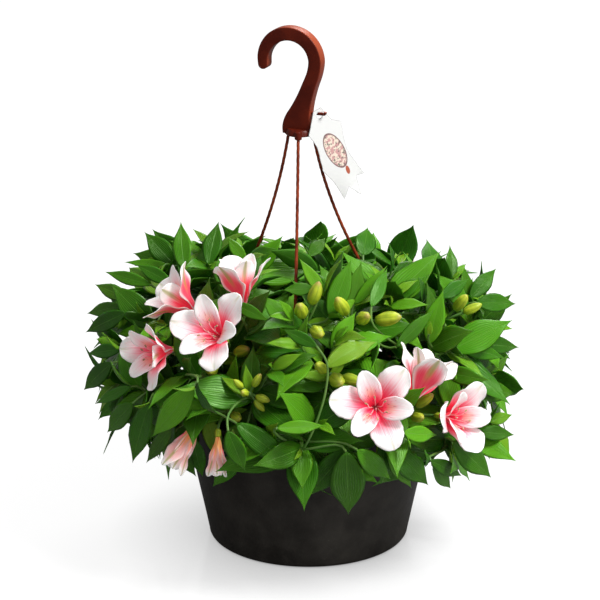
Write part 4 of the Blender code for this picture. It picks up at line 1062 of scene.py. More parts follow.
def finish(name, roughness, **constants):
    made = bpy.data.materials.new(name)
    made.use_nodes = True
    shader = made.node_tree.nodes["Principled BSDF"].inputs
    for label, value in {"Roughness": roughness, **constants}.items():
        shader[label.replace("_", " ")].default_value = value
    return made, Nodes(made.node_tree, shader)


leafColours = {"deep": (0.008, 0.060, 0.002, 1), "mid": (0.036, 0.205, 0.006, 1),
               "light": (0.130, 0.410, 0.014, 1), "young": (0.270, 0.470, 0.022, 1),
               "rib": (0.150, 0.380, 0.045, 1), "back": (0.052, 0.205, 0.017, 1)}


def leafFinish():
    made, t = finish("leafGreen", 0.40, Specular_IOR_Level=0.36, Specular_Tint=(0.66, 1.0, 0.46, 1),
                     Subsurface_Weight=0.15, Subsurface_Scale=0.0015, Subsurface_Radius=(0.3, 1.0, 0.05))
    lines, patches = t.group(veins, Count=7.0), t.group(mottle, Patch=38.0, Grain=420.0)
    tone, under = t.attribute("tone"), t.attribute("under")
    base = t.layered(leafColours, "deep", (tone, "mid"), (t.step(tone, 0.45, 1.05), "light"),
                     (t.mul(patches["Patches"], 0.30), "mid"),
                     (t.mul(t.step(lines["Along"], 0.35, 1.0), 0.25), "light"),
                     (t.attribute("young"), "young"))
    shade = t.fma(lines["Lines"], -0.26, 1.0)
    base = t.blend(1.0, base, t.node("ShaderNodeCombineXYZ", {0: shade, 1: shade, 2: shade}), "MULTIPLY")
    base = t.layered(leafColours, base, (t.mul(lines["Rib"], 0.42), "rib"), (t.mul(under, 0.45), "back"))
    relief = t.fma(lines["Lines"], -0.6, t.fma(lines["Rib"], -1.0, 1.0))
    t.paint(base, t.add(relief, t.mul(patches["Patches"], 0.5)), 0.5, 0.0006,
            t.fma(patches["Grains"], 0.16, t.fma(under, 0.2, 0.22)))
    return made


budColours = {"green": (0.270, 0.400, 0.018, 1), "lime": (0.600, 0.680, 0.035, 1),
              "seam": (0.150, 0.270, 0.012, 1), "tip": (0.420, 0.230, 0.110, 1)}


def budFinish():
    made, t = finish("budSkin", 0.42, Specular_IOR_Level=0.45)
    u, v, _ = t.parts(t.uv())
    patches = t.group(mottle, Patch=120.0, Grain=900.0)
    seam = t.calc("PINGPONG", t.mul(u, 6.0), 0.5)
    base = t.layered(budColours, "green", (t.fma(patches["Patches"], 0.5, t.mul(v, 0.4)), "lime"),
                     (t.mul(t.step(seam, 0.36, 0.5), 0.5), "seam"),
                     (t.mul(t.step(v, 0.80, 1.0), t.attribute("blush")), "tip"))
    t.paint(base, seam, 0.5, 0.0006)
    return made


petalColours = {"white": (0.93, 0.90, 0.88, 1), "blush": (0.95, 0.34, 0.43, 1),
                "coral": (0.90, 0.032, 0.095, 1), "throat": (0.42, 0.008, 0.026, 1),
                "dash": (0.30, 0.012, 0.035, 1), "rib": (0.330, 0.350, 0.070, 1),
                "yellow": (0.92, 0.62, 0.30, 1), "outside": (0.93, 0.075, 0.130, 1),
                "core": (0.72, 0.008, 0.045, 1), "opening": (0.93, 0.42, 0.13, 1),
                "pale": (0.95, 0.56, 0.52, 1)}


# Tepals are flushed coral from the throat outwards in fine rays, with white margins and a green tip
def petalFinish(name, inner):
    made, t = finish(name, 0.52, Specular_IOR_Level=0.28, Sheen_Weight=0.04, Sheen_Roughness=0.4,
                     Emission_Strength=0.17, Subsurface_Weight=0.18, Subsurface_Scale=0.002,
                     Subsurface_Radius=(1.0, 0.5, 0.5))
    lines = t.group(veins, **{"Count": 9.0, "Waver": 0.5, "Rib width": 0.16})
    patches = t.group(mottle, Patch=70.0, Grain=700.0)
    across, along, flush, closed = lines["Across"], lines["Along"], t.attribute("flush"), t.attribute("young")
    streaks = lambda stretch, detail: t.noise(t.vec("MULTIPLY", t.uv(), stretch), 1.0, detail)
    reach = t.fma(streaks((20.0, 1.5, 0.0), 2.0), 0.34, t.calc("SUBTRACT", along, 0.17))
    reach = t.fma(t.mul(across, across), 0.20, reach)
    base = t.layered(petalColours, "white", (t.step(reach, t.fma(flush, 0.34, 0.80), 0.34), "blush"),
                     (t.step(reach, t.fma(flush, 0.28, 0.58), 0.32), "coral"),
                     (t.mul(lines["Lines"], 0.12), "blush"))
    if inner:
        patch = t.mul(t.step(along, 0.40, 0.50), t.step(along, 0.72, 0.58), t.step(across, 0.60, 0.20))
        flecks = t.mul(t.step(streaks((20.0, 5.0, 0.0), 1.0), 0.62, 0.67),
                       t.mul(t.step(along, 0.18, 0.30), t.step(along, 0.74, 0.58)))
        base = t.layered(petalColours, base, (t.mul(patch, 0.25), "yellow"), (t.mul(flecks, 0.65), "dash"))
    else:
        mark = t.mul(t.step(along, 0.74, 0.96), t.step(across, 0.26, 0.0))
        base = t.layered(petalColours, base, (t.mul(mark, 0.40), "rib"))
    base = t.layered(petalColours, base, (t.mul(t.step(reach, 0.44, 0.10), 0.80), "core"),
                     (t.mul(t.step(along, 0.20, 0.03), 0.80), "throat"))
    paler = 0.20 if inner else 0.0
    # a bloom that is still opening is salmon, with yellow at its foot
    outside = t.layered(
        petalColours, "white", (t.step(reach, 1.02 - paler, 0.60 - paler), "blush"),
        (t.step(reach, 0.90 - paler, 0.52 - paler), "outside"),
        (t.mul(t.step(streaks((26.0, 1.2, 0.0), 2.0), 0.50, 0.64), t.step(reach, 0.75, 0.40)), "coral"),
        (t.mul(t.step(across, 0.62, 0.95), 0.7), "white"),
        (t.mul(closed, t.step(along, 0.96, 0.70), 0.75), "pale"),
        (t.mul(closed, t.step(reach, 0.66, 0.30)), "opening"),
        (t.mul(t.step(across, 0.34, 0.04), t.step(along, 0.30, 0.70), 0.75), "rib"))
    colour = t.blend(t.attribute("under"), base, outside)
    relief = t.fma(lines["Lines"], -0.5, t.mul(lines["Rib"], -0.8))
    t.paint(colour, relief, 0.5, 0.0004, t.fma(patches["Grains"], 0.2, 0.42))
    # the tepals also glow faintly in their own colour: painted light that brightens them where they are
    # shaded
    t.link(colour, t.shader["Emission Color"])
    return made


def plainFinish(name, dark, light, roughness, patch=200.0, grain=1200.0, bump=0.3):
    made, t = finish(name, roughness)
    patches = t.group(mottle, Patch=patch, Grain=grain)
    t.paint(t.blend(patches["Patches"], dark, light), patches["Grains"], bump, 0.0002)
    return made


potLook = {"black": (0.0225, 0.0200, 0.0172, 1), "worn": (0.042, 0.038, 0.033, 1),
           "dust": (0.28, 0.25, 0.21, 1)}


def potFinish():
    made, t = finish("potPlastic", 0.5, Specular_IOR_Level=0.14)
    patches = t.group(mottle, Patch=26.0, Grain=1400.0)
    dirt = t.group(dust, Height=0.075, Specks=1300.0, Amount=0.75)
    base = t.layered(potLook, "black", (patches["Patches"], "worn"), (t.mul(dirt["Smear"], 0.06), "dust"),
                     (t.mul(dirt["Dust"], 0.55), "dust"))
    t.paint(base, t.fma(patches["Patches"], 1.0, t.mul(patches["Grains"], 0.35)), 0.35, 0.0007,
            t.fma(dirt["Smear"], 0.22, t.fma(patches["Patches"], 0.10, 0.44)))
    return made


# rim is a painted highlight: the warm orange laid on the hook's edges that face the key light
hangerLook = {"dark": (0.082, 0.009, 0.004, 1), "warm": (0.125, 0.014, 0.005, 1),
              "rim": (0.430, 0.085, 0.032, 1), "dust": (0.30, 0.10, 0.06, 1), "roughness": 0.36}


def hangerFinish(name, dark, warm):
    made, t = finish(name, hangerLook["roughness"], Specular_IOR_Level=0.12)
    patches = t.group(mottle, Patch=70.0, Grain=1500.0)
    dirt = t.group(dust, Height=0.0, Specks=1200.0, Amount=0.6)
    # the rim attribute lays that painted highlight on the lit edge faces
    base = t.layered(hangerLook, dark, (patches["Patches"], warm), (t.attribute("rim"), "rim"),
                     (t.mul(dirt["Dust"], 0.3), "dust"))
    t.paint(base, patches["Grains"], 0.25, 0.0003,
            t.fma(patches["Patches"], 0.12, hangerLook["roughness"] - 0.06))
    return made


# Places on the card are in its own metres from the hole
labelLook = {"white": (0.80, 0.80, 0.79, 1), "cut": (0.30, 0.30, 0.30, 1), "oval": (0.62, 0.34, 0.33, 1),
             "cream": (0.86, 0.72, 0.60, 1), "green": (0.085, 0.110, 0.085, 1),
             "edge": (0.22, 0.13, 0.13, 1), "rust": (0.45, 0.10, 0.05, 1), "ovalTurn": 0.20,
             "ovalAt": (0.0030, -0.0400), "ovalSize": (0.0096, 0.0205), "dashAt": (0.0085, -0.0640),
             "dashSize": (0.0022, 0.0050)}


# White card with a plain oval of soft colours, one small rust dash, and a grey line round its edge that is
# painted shade
def labelFinish():
    made, t = finish("labelCard", 0.42, Specular_IOR_Level=0.5)
    u, v, _ = t.parts(t.uv())
    c, s = cos(labelLook["ovalTurn"]), sin(labelLook["ovalTurn"])
    away = lambda place: [t.add(side, -middle) for side, middle in zip((u, v), place)]
    rounded = lambda sides, size: t.calc("SQRT", t.add(*(
        t.mul(side, side) for side in [t.calc("DIVIDE", side, half) for side, half in zip(sides, size)])))
    dx, dz = away(labelLook["ovalAt"])
    oval = rounded((t.fma(dx, c, t.mul(dz, s)), t.fma(dz, c, t.mul(dx, -s))), labelLook["ovalSize"])
    dash = rounded(away(labelLook["dashAt"]), labelLook["dashSize"])
    patch = t.step(t.noise(t.place(), 300.0, 2.0), 0.46, 0.54)
    fleck = t.step(t.noise(t.place(), 480.0, 2.0), 0.56, 0.62)
    inside = t.layered(labelLook, "oval", (patch, "cream"), (t.mul(fleck, 0.8), "green"),
                       (t.mul(t.step(oval, 0.86, 0.92), t.step(oval, 1.0, 0.96)), "edge"))
    base = t.layered(labelLook, "white", (t.step(oval, 1.0, 0.97), inside), (t.step(dash, 1.0, 0.8), "rust"),
                     (t.attribute("cut"), "cut"))
    t.paint(base, t.group(mottle, Patch=30.0, Grain=700.0)["Grains"], 0.1, 0.0002)
    return made


leafGreen, budSkin = leafFinish(), budFinish()
stemGreen = plainFinish("stemGreen", (0.075, 0.190, 0.030, 1), (0.130, 0.260, 0.045, 1), 0.45, 60.0, 500.0,
                        0.2)
outerPetal, innerPetal = petalFinish("outerPetal", False), petalFinish("innerPetal", True)
filament = plainFinish("filament", (0.80, 0.26, 0.30, 1), (0.90, 0.62, 0.58, 1), 0.45)
anther = plainFinish("anther", (0.34, 0.20, 0.10, 1), (0.60, 0.42, 0.24, 1), 0.7, 900.0, 5400.0)
potPlastic = potFinish()
hangerPlastic = hangerFinish("hangerPlastic", "dark", "warm")
strandPlastic = hangerFinish("strandPlastic", (0.115, 0.015, 0.006, 1), (0.30, 0.050, 0.016, 1))
labelCard = labelFinish()
peat = plainFinish("peat", (0.012, 0.007, 0.004, 1), (0.055, 0.032, 0.019, 1), 0.95, 300.0, 1800.0, 0.8)
print("finishes made")

# The plant's layout
umbels, shoots, room = growPlant()
print("layout grown:", len(shoots), "shoots,", sum(len(s["leaves"]) for s in shoots), "leaves")

fillSizes = {"seed": 5, "rounds": 10, "tries": 14, "rows": 64, "columns": 240, "leastLight": 3,
             "youngLeaves": 6, "youngLength": 0.034}
sideSizes = {"seed": 9, "lineClear": 0.0018, "bladeClear": -0.0009, "places": 150, "square": 0.66,
             "outline": (5.0, 3.0, 0.010), "spacing": 0.031, "turns": 14, "radius": 0.0011, "spread": 0.25,
             "backs": (0.028, 0.042, 0.058, 0.076), "reach": (0.022, 0.115), "out": (-0.006, 0.012),
             "leaves": 11, "tries": 15, "first": 0.044, "growth": 0.0048, "longest": 0.080, "aspect": 0.44,
             "tilt": 18.0, "opening": 8.0}


# Thickness and margin that finished leaves are tested with
leafRoom, youngRoom = (0.0007, -0.0004), (0.0006, -0.001)
firstSide = 100  # key of the first side shoot; the main shoots' keys count from 0


# Half width of a finished leaf: the same as in the layout, drawn out to a point
def pointedOutline(t):
    return 0.02 * (1 - t) + 0.99 * sin(pi * t ** 0.8) ** (0.85 + 0.75 * t)


# Half width of a finished tepal: as in the layout, but fuller and blunter towards its end
def bluntOutline(t, base, widest, rise):
    if t < widest:
        return base + (1 - base) * sin(pi / 2 * t / widest) ** rise
    return max(0.0, 1 - ((t - widest) / (1 - widest)) ** 2.0) ** 0.56 * (1 + 0.025 * sin(41 * t))


def outerFine(t):
    return bluntOutline(t, 0.15, 0.64, 1.35)


def innerFine(t):
    return bluntOutline(t, 0.16, 0.62, 1.5)


# The mound's outline seen from the front and a little above, in mm from the middle of that view
moundView = {"distance": 2.746, "rise": 0.948, "lean": 0.317, "middle": (-0.0083, 0.2352)}
moundEdge = [(-77, 76), (-95, 70), (-113, 77), (-133, 70), (-150, 66), (-157, 47), (-182, 36), (-194, 14),
             (-208, -8), (-212, -28), (-202, -45), (-206, -68), (-211, -84), (-202, -97), (-195, -110),
             (-189, -127), (-169, -133), (-163, -154), (-142, -150), (-121, -161), (-102, -165), (-90, -182),
             (-57, -169), (-36, -161), (-9, -167), (-3, -189), (24, -186), (46, -204), (65, -190),
             (80, -173), (114, -173), (133, -182), (150, -181), (154, -169), (175, -167), (184, -169),
             (184, -154), (208, -154), (209, -142), (195, -123), (203, -104), (208, -90), (207, -76),
             (194, -68), (215, -49), (211, -36), (215, -11), (211, 0), (192, 14), (192, 37), (171, 32),
             (154, 38), (142, 53), (131, 40), (114, 36), (95, 49), (81, 61), (64, 73), (47, 65), (24, 64),
             (0, 62), (-28, 62), (-52, 67)]


toLens = np.array([0, -moundView["rise"], moundView["lean"]])


# Points as seen in that view, across and up in mm
def seenAt(points):
    x, y, z = points[:, 0] - moundView["middle"][0], points[:, 1], points[:, 2] - moundView["middle"][1]
    swell = 1000 / (1 - (z * moundView["lean"] - y * moundView["rise"]) / moundView["distance"])
    return x * swell, (z * moundView["rise"] + y * moundView["lean"]) * swell


# The place at a given depth y that is seen there
def placeAt(across, up, y):
    swell = 1000.0
    for _ in range(4):
        x, z = across / swell, (up / swell - y / 1000 * moundView["lean"]) / moundView["rise"]
        swell = 1000 / (1 - (z * moundView["lean"] - y / 1000 * moundView["rise"]) / moundView["distance"])
    return np.array([x + moundView["middle"][0], y / 1000, z + moundView["middle"][1]])


def inOutline(points):
    across, up = (side[:, None] for side in seenAt(points))
    (ax, az), (bx, bz) = np.array(moundEdge, float).T, np.array(moundEdge[1:] + moundEdge[:1], float).T
    slope = (bx - ax) / np.where(az == bz, 1.0, bz - az)
    crossed = ((az > up) != (bz > up)) & (across < slope * (up - az) + ax)
    return bool((crossed.sum(1) % 2 == 1).all())


# What nothing may hide in that view: rounds on blooms, buds and the plainest leaves, each with its place
# across and up, its radius and its nearness
keptInView = []


def keepInView(place, radius):
    across, up = seenAt(np.array([place]))
    keptInView.append((across[0], up[0], radius * 1000, place @ toLens + 0.0015))


def hidesKept(points):
    across, up = (side[:, None] for side in seenAt(points))
    kept = np.array(keptInView)
    near = (points @ toLens)[:, None] > kept[:, 3]
    return bool((near & (np.hypot(across - kept[:, 0], up - kept[:, 1]) < kept[:, 2])).any())


# Points over a blade's face, all at once
def bladeSpread(blade, first=0.1, rows=7, columns=5):
    v = np.linspace(first, 1.0, rows)
    angle = (blade["bend"] * v)[:, None]
    side = cross(blade["along"], blade["face"])
    rise = blade["along"] * np.sin(angle) - blade["face"] * (1 - np.cos(angle))
    centre = blade["root"] + blade["length"] / blade["bend"] * rise
    half = blade["width"] / 2 * np.array([blade["outline"](min(x, 0.97)) for x in v])
    return np.vstack([centre + side * (half * s)[:, None] for s in np.linspace(-1, 1, columns)])


def inBox(points, spare=0.004):
    return bool((points > np.array(cadBox[0]) + spare).all() and (points < np.array(cadBox[1]) - spare).all())


# True if a leaf has room among what is already there
def hasRoom(room, leaf, points, key, clear=0.0016):
    if not withinMound(points, *sideSizes["outline"]) or not inBox(points) or not inOutline(points):
        return False
    if room.meetsBall(points) or hidesKept(points) or room.meetsLine(points, clear, key):
        return False
    return not room.meetsBlade(*roomCage(leaf, *leafRoom))


def fineLeaf(root, along, face, length, width, bend, twist, fold):
    return {"root": root, "along": along, "face": face, "length": length, "width": width, "bend": bend,
            "twist": twist, "fold": fold, "outline": pointedOutline, "stations": leafSizes["stations"]}


# Keeps a new side shoot, which leaves the main shoot with this number
def addShoot(sides, room, tip, axis, path, parent, chance, fill):
    key = firstSide + len(sides)
    room.addLine(path[1:], [sideSizes["radius"]] * (len(path) - 1), key)
    sides.append({"name": "", "tip": tip, "axis": axis, "path": path, "parent": parent, "key": key,
                  "turn": chance.uniform(0, 2 * pi), "leaves": [], "fill": fill, "young": []})


# Side shoots that give the mound its outline: where each ends (mm) and which way it points
edgePlan = [((-138, 15, 256), (-0.35, 0.0, 0.95)), ((-116, 32, 262), (-0.15, 0.1, 1.0)),
            ((-92, 50, 266), (0.0, 0.1, 1.0)), ((-160, 0, 243), (-0.70, -0.1, 0.65)),
            ((-176, -8, 222), (-0.92, -0.1, 0.30)), ((-181, -20, 198), (-0.97, -0.1, 0.08)),
            ((-178, -34, 172), (-0.93, -0.2, -0.15)), ((-168, -48, 148), (-0.80, -0.3, -0.45)),
            ((-150, -66, 134), (-0.60, -0.4, -0.65)), ((150, -8, 247), (0.55, 0.0, 0.80)),
            ((166, -20, 226), (0.88, -0.1, 0.40)), ((171, -32, 200), (0.97, -0.15, 0.08)),
            ((168, -48, 172), (0.90, -0.3, -0.15)), ((158, -70, 150), (0.75, -0.4, -0.45)),
            ((138, -92, 140), (0.55, -0.55, -0.60)), ((112, -112, 138), (0.40, -0.65, -0.65)),
            ((152, -100, 128), (0.70, -0.45, -0.55)), ((168, -66, 132), (0.80, -0.20, -0.55)),
            ((-146, 40, 246), (-0.45, 0.10, 0.90)), ((-70, 62, 270), (0.10, 0.15, 1.0)),
            ((-168, -24, 236), (-0.85, -0.1, 0.50)), ((-134, -84, 122), (-0.45, -0.45, -0.75)),
            ((176, -12, 214), (0.90, -0.1, 0.30))]


# The leaves that are plainest in that view: tip and foot as seen (across, up), width, and how much deeper
# than the dome's surface, all in mm
edgeLeaves = [((-148, 65), (-121, 37), 22, 0), ((-113, 75), (-108, 33), 20, 0),
              ((-77, 75), (-84, 36), 20, 0), ((-186, 27), (-144, 15), 13, 0), ((-168, 36), (-127, 32), 9, 8),
              ((-156, 34), (-123, 17), 14, 0), ((-195, 15), (-163, 2), 15, 0),
              ((-211, -13), (-170, -7), 14, 0), ((-211, -31), (-165, -14), 18, 0),
              ((-202, -51), (-169, -47), 14, 0), ((-207, -86), (-177, -61), 18, 0),
              ((-195, -99), (-160, -83), 11, 0), ((-183, -126), (-157, -99), 20, 0),
              ((-159, -155), (-140, -99), 22, 0), ((-146, -155), (-120, -121), 14, 0),
              ((-140, -134), (-99, -91), 26, -6), ((-98, -168), (-118, -134), 15, 42),
              ((-92, -168), (-100, -128), 18, 60), ((-76, -152), (-86, -112), 18, 62),
              ((210, -45), (170, -42), 17, 0), ((195, -55), (151, -45), 16, 0),
              ((210, -8), (165, -10), 20, 0), ((205, -89), (165, -86), 20, 0),
              ((201, -109), (180, -115), 12, 0), ((204, -128), (170, -125), 15, 0),
              ((206, -153), (166, -133), 20, 0), ((180, -167), (141, -132), 26, 0),
              ((157, -161), (128, -142), 16, -4), ((143, -179), (124, -157), 14, 0),
              ((122, -176), (88, -141), 24, -4), ((106, -179), (82, -142), 16, 0),
              ((130, -128), (98, -126), 16, -6), ((187, 33), (163, 9), 18, 0), ((140, 48), (139, 14), 14, 0),
              ((160, 20), (134, 3), 14, -3), ((113, 33), (89, 22), 14, 0), ((134, -9), (103, -43), 16, -5),
              ((88, 30), (76, -6), 16, -5), ((64, 69), (59, 43), 22, 0), ((-5, -157), (-56, -116), 28, -6),
              ((-54, -159), (-70, -120), 20, 0), ((1, -188), (38, -141), 28, -4),
              ((46, -204), (43, -144), 33, -4), ((86, -170), (54, -142), 20, 0),
              ((25, -119), (-17, -121), 13, -5), ((24, 59), (10, 41), 14, 0), ((47, 36), (26, -17), 22, -5),
              ((-1, 40), (21, 6), 12, -3), ((85, 22), (57, -19), 14, -4), ((-27, -21), (-57, -6), 12, -8),
              ((-15, 2), (11, -1), 14, -8), ((-15, -19), (17, -29), 14, -8), ((-70, 61), (-51, 36), 12, 0),
              ((-36, 36), (-46, 9), 14, -3)]
edgeLook = {"tries": 36, "shift": 0.0013, "bend": 14.0, "fold": 0.16, "backs": (0.004, 0.085, 11),
            "reach": 0.11, "clear": 0.0013, "under": 0.9, "slant": 11.0, "length": 1.12, "thinner": 0.006,
            "boxSpare": 0.0015, "lineClear": 0.0016, "bladeClear": -0.0011,
            "kept": ((0.15, 0.2), (0.30, 0.40), (0.45, 0.45), (0.62, 0.42), (0.80, 0.26), (0.95, 0.1))}
viewDome = {"radius": 0.192, "rise": 0.112, "fall": 0.115, "centre": 0.170, "power": 2.2,
            "depths": (-200, 80, 2)}


# Depth (y in mm) at which the leaves' dome is met at a place in that view, or comes nearest to it
def domeDepth(across, up):
    best, least = 0, 9.0
    for y in range(*viewDome["depths"]):
        place = placeAt(across, up, y)
        height = place[2] - viewDome["centre"]
        reach = hypot(place[0] - moundView["middle"][0], place[1]) / viewDome["radius"]
        rise = abs(height) / (viewDome["rise"] if height > 0 else viewDome["fall"])
        outside = reach ** viewDome["power"] + rise ** viewDome["power"] - 1
        if outside < 0:
            return y
        if outside < least:
            best, least = y, outside
    return best


# Grows those leaves, each on a thin shoot of its own from whichever main shoot is near and free
def growEdge(shoots, sides, room, chance):
    for end, foot, width, deeper in edgeLeaves:
        endDepth, footDepth = domeDepth(*end) + deeper, domeDepth(*foot) + deeper
        middle = 0.4 * endDepth + 0.6 * footDepth
        slant = max(-edgeLook["slant"], min(edgeLook["slant"], (endDepth - footDepth) / 2))
        for turn in range(edgeLook["tries"]):
            shift = np.array([0.3, 1.0, 0.3]) * edgeLook["shift"] * turn * shake(chance)
            tip, root = placeAt(*end, middle + slant) + shift * 0.6, placeAt(*foot, middle - slant) + shift
            spare = edgeLook["boxSpare"]
            tip[0] = min(max(tip[0], cadBox[0][0] + spare), cadBox[1][0] - spare)
            along = unit(tip - root)
            face = squared(toLens + 0.4 * unit([root[0], root[1], 0.06]), along)
            leaf = fineLeaf(root, along, face, float(norm(tip - root)) * edgeLook["length"],
                            width / 1000 * (1 - edgeLook["thinner"] * turn), radians(edgeLook["bend"]),
                            0.1 * chance.uniform(-1, 1), edgeLook["fold"])
            leaf["root"] = root = root + tip - bladeFrame(leaf, 1.0)[0]
            points = bladeSpread(leaf)
            if not inBox(points, 0.001) or room.meetsBall(points) or hidesKept(points):
                continue
            if room.meetsLine(points, edgeLook["clear"]) or room.meetsBlade(*roomCage(leaf, *leafRoom)):
                continue
            # the shoot comes from below
            lead = unit(along + edgeLook["under"] * (1 - 0.5 * (turn % 3)) * toLens)
            best, least = None, edgeLook["reach"] + 0.0012 * turn
            for k, shoot in enumerate(shoots):
                for back in np.linspace(*edgeLook["backs"]):
                    start, ahead = pointOn(shoot["path"], back)
                    span = norm(root - start) if start is not None else 9.0
                    if span * 1.02 > least:
                        continue
                    path = bezier([start, start + ahead * 0.3 * span, root - lead * 0.35 * span, root], 6)
                    line = dense(path)[4:]
                    if hidesKept(line) or room.meetsLine(line, edgeLook["lineClear"], k):
                        continue
                    if not touchesBlade(room, line, edgeLook["bladeClear"]):
                        best, least = (k, path), span * 1.02
            if best is None:
                continue
            room.addBlade(*roomCage(leaf, *leafRoom))
            addShoot(sides, room, root, along, best[1], best[0], chance, [leaf])
            break
    for leaf in [s["fill"][0] for s in sides]:
        for t, share in edgeLook["kept"]:
            keepInView(bladeFrame(leaf, t)[0], leaf["width"] * share)
    print("outline leaves:", len(sides), "of", len(edgeLeaves))


# Adds a side shoot from the main shoot that best leads to it, if nothing is in its way
def addSide(shoots, sides, room, tip, axis, chance):
    tips = [s["tip"] for s in shoots + sides]
    if min(norm(tip - t) for t in tips) < sideSizes["spacing"] or room.meetsBall(tip[None]):
        return False
    best, least = None, 9.0
    for k, shoot in enumerate(shoots):
        for back in sideSizes["backs"]:
            start, ahead = pointOn(shoot["path"][1:], back)
            if start is None:
                continue
            span = norm(tip - start)
            cost = span * (1.6 - unit(tip - start) @ ahead)
            if sideSizes["reach"][0] < span < sideSizes["reach"][1] and cost < min(least, 1.5 * span):
                best, least = (k, start, ahead, span), cost
    if best is None:
        return False
    k, start, ahead, span = best
    path = bezier([start, start + ahead * 0.35 * span, tip - axis * 0.35 * span, tip], 6)
    line = dense(path)[5:]
    if hidesKept(line) or room.meetsLine(line, sideSizes["lineClear"], k):
        return False
    if touchesBlade(room, line, sideSizes["bladeClear"]):
        return False
    addShoot(sides, room, tip, axis, path, k, chance, [])
    return True


# Side shoots: first those of the outline, then others evenly between the main shoots
def growSides(shoots, room, chance):
    sides = []
    growEdge(shoots, sides, room, chance)
    planned = len(sides)
    for place, aim in edgePlan:
        for turn in range(sideSizes["turns"]):
            tip = np.array(place) / 1000 + shake(chance) * 0.002 * turn
            if addSide(shoots, sides, room, tip, unit(aim), chance):
                break
    print("outline shoots:", len(sides) - planned, "of", len(edgePlan))
    for i, (radius, height, lean) in enumerate(domePlaces(sideSizes["places"], sideSizes["square"])):
        for turn in range(sideSizes["turns"]):
            swing = i * goldenAngle + 2.0 + radians(5.0 * turn) * (1 if turn % 2 else -1)
            out = outAt(swing)
            axis = unit(out * sin(lean) + upBy(cos(lean)) + shake(chance) * sideSizes["spread"])
            tip = out * radius + upBy(height) + axis * chance.uniform(*sideSizes["out"])
            if addSide(shoots, sides, room, tip, axis, chance):
                break
    return sides


# The k-th leaf from the end of a side shoot, where the leaves are smaller and closer together
def smallLeaf(shoot, k, chance, stray):
    root, axis = pointOn(shoot["path"], 0.0015 + 0.0043 * k)
    if root is None:
        return None
    out = turned(sideOf(axis), axis, k * goldenAngle + shoot["turn"] + stray * chance.uniform(-1, 1))
    tilt = min(sideSizes["tilt"] + sideSizes["opening"] * k, 86) + 18 * stray * chance.uniform(-1, 1)
    along, face = tilted(axis, out, radians(tilt))
    face = squared(face + 0.7 * unit([root[0] * 1.3, root[1] * 2.2 - 0.16, 0.50]), along)
    face = turned(face, along, radians(30) * stray * chance.uniform(-1, 1))
    length = min(sideSizes["first"] + sideSizes["growth"] * k, sideSizes["longest"])
    length *= (1 + 0.12 * chance.uniform(-1, 1)) * (1 - 0.2 * stray)
    return fineLeaf(root - along * 0.0006, along, face, length,
                    length * sideSizes["aspect"] * (1 + 0.14 * chance.uniform(-1, 1)),
                    radians(26 + 20 * chance.uniform(-1, 1)), radians(18 * chance.uniform(-1, 1)),
                    0.20 + 0.10 * chance.uniform(-1, 1))


def growRosettes(shoots, room, chance):
    for k in range(sideSizes["leaves"]):
        for shoot in shoots:
            for turn in range(sideSizes["tries"]):
                leaf = smallLeaf(shoot, k, chance, turn / sideSizes["tries"])
                if leaf and hasRoom(room, leaf, bladeSpread(leaf), shoot["key"]):
                    room.addBlade(*roomCage(leaf, *leafRoom))
                    shoot["fill"].append(leaf)
                    break


# More leaves behind and between the ones that are there, wherever light still gets through
def fillMound(shoots, room, chance):
    fine = Light()
    fine.open = np.ones((fillSizes["rows"], fillSizes["columns"]), bool)
    for shoot in shoots:
        for leaf in shoot["leaves"] + shoot["fill"]:
            fine.shade(bladeSpread(leaf))
    for k in range(fillSizes["rounds"]):
        for shoot in shoots:
            back = 0.012 + 0.011 * k + 0.006 * chance.random()
            if pointOn(shoot["path"][1:], back)[0] is None:
                continue
            best, gained = None, fillSizes["leastLight"]
            for turn in range(fillSizes["tries"]):
                leaf = leafFor(shoot, 2 + k % 5, back, chance, 0.25 + 0.75 * turn / fillSizes["tries"])
                leaf["length"] *= 0.66 + 0.26 * chance.random()
                leaf["width"] = leaf["length"] * (0.34 + 0.08 * chance.random())
                points = bladeSpread(leaf)
                gain = fine.gain(points)
                if gain > gained and hasRoom(room, leaf, points, shoot["key"]):
                    best, gained = leaf, gain
            if best:
                room.addBlade(*roomCage(best, *leafRoom))
                fine.shade(bladeSpread(best))
                shoot["fill"].append(best)
    return float(fine.open.mean())


# Small pale leaves at each shoot's end: still half folded on a leafy one, a ring of bracts under an umbel
def youngLeaves(shoot, room, chance):
    root, axis = pointOn(shoot["path"], 0.002)
    flowering = bool(shoot["name"])
    for k in range(fillSizes["youngLeaves"]):
        out = turned(sideOf(axis), axis, k * goldenAngle + shoot["turn"] + 1.1)
        along, face = tilted(axis, out, radians(52 + 5 * k if flowering else 10 + 7 * k))
        length = fillSizes["youngLength"] * (0.55 + 0.13 * k + 0.2 * flowering)
        length *= 1 + 0.2 * chance.uniform(-1, 1)
        twist = 0.3 * chance.uniform(-1, 1)
        leaf = fineLeaf(root, along, unit(face), length, length * 0.36, 0.45, twist, 0.45)
        points = bladeSpread(leaf, 0.3)
        if not inBox(points) or not inOutline(points) or room.meetsBall(points) or hidesKept(points):
            continue
        cage = roomCage(leaf, *youngRoom)
        if not room.meetsLine(points, 0.0008, shoot["key"]) and not room.meetsBlade(*cage):
            room.addBlade(*cage)
            shoot["young"].append(leaf)


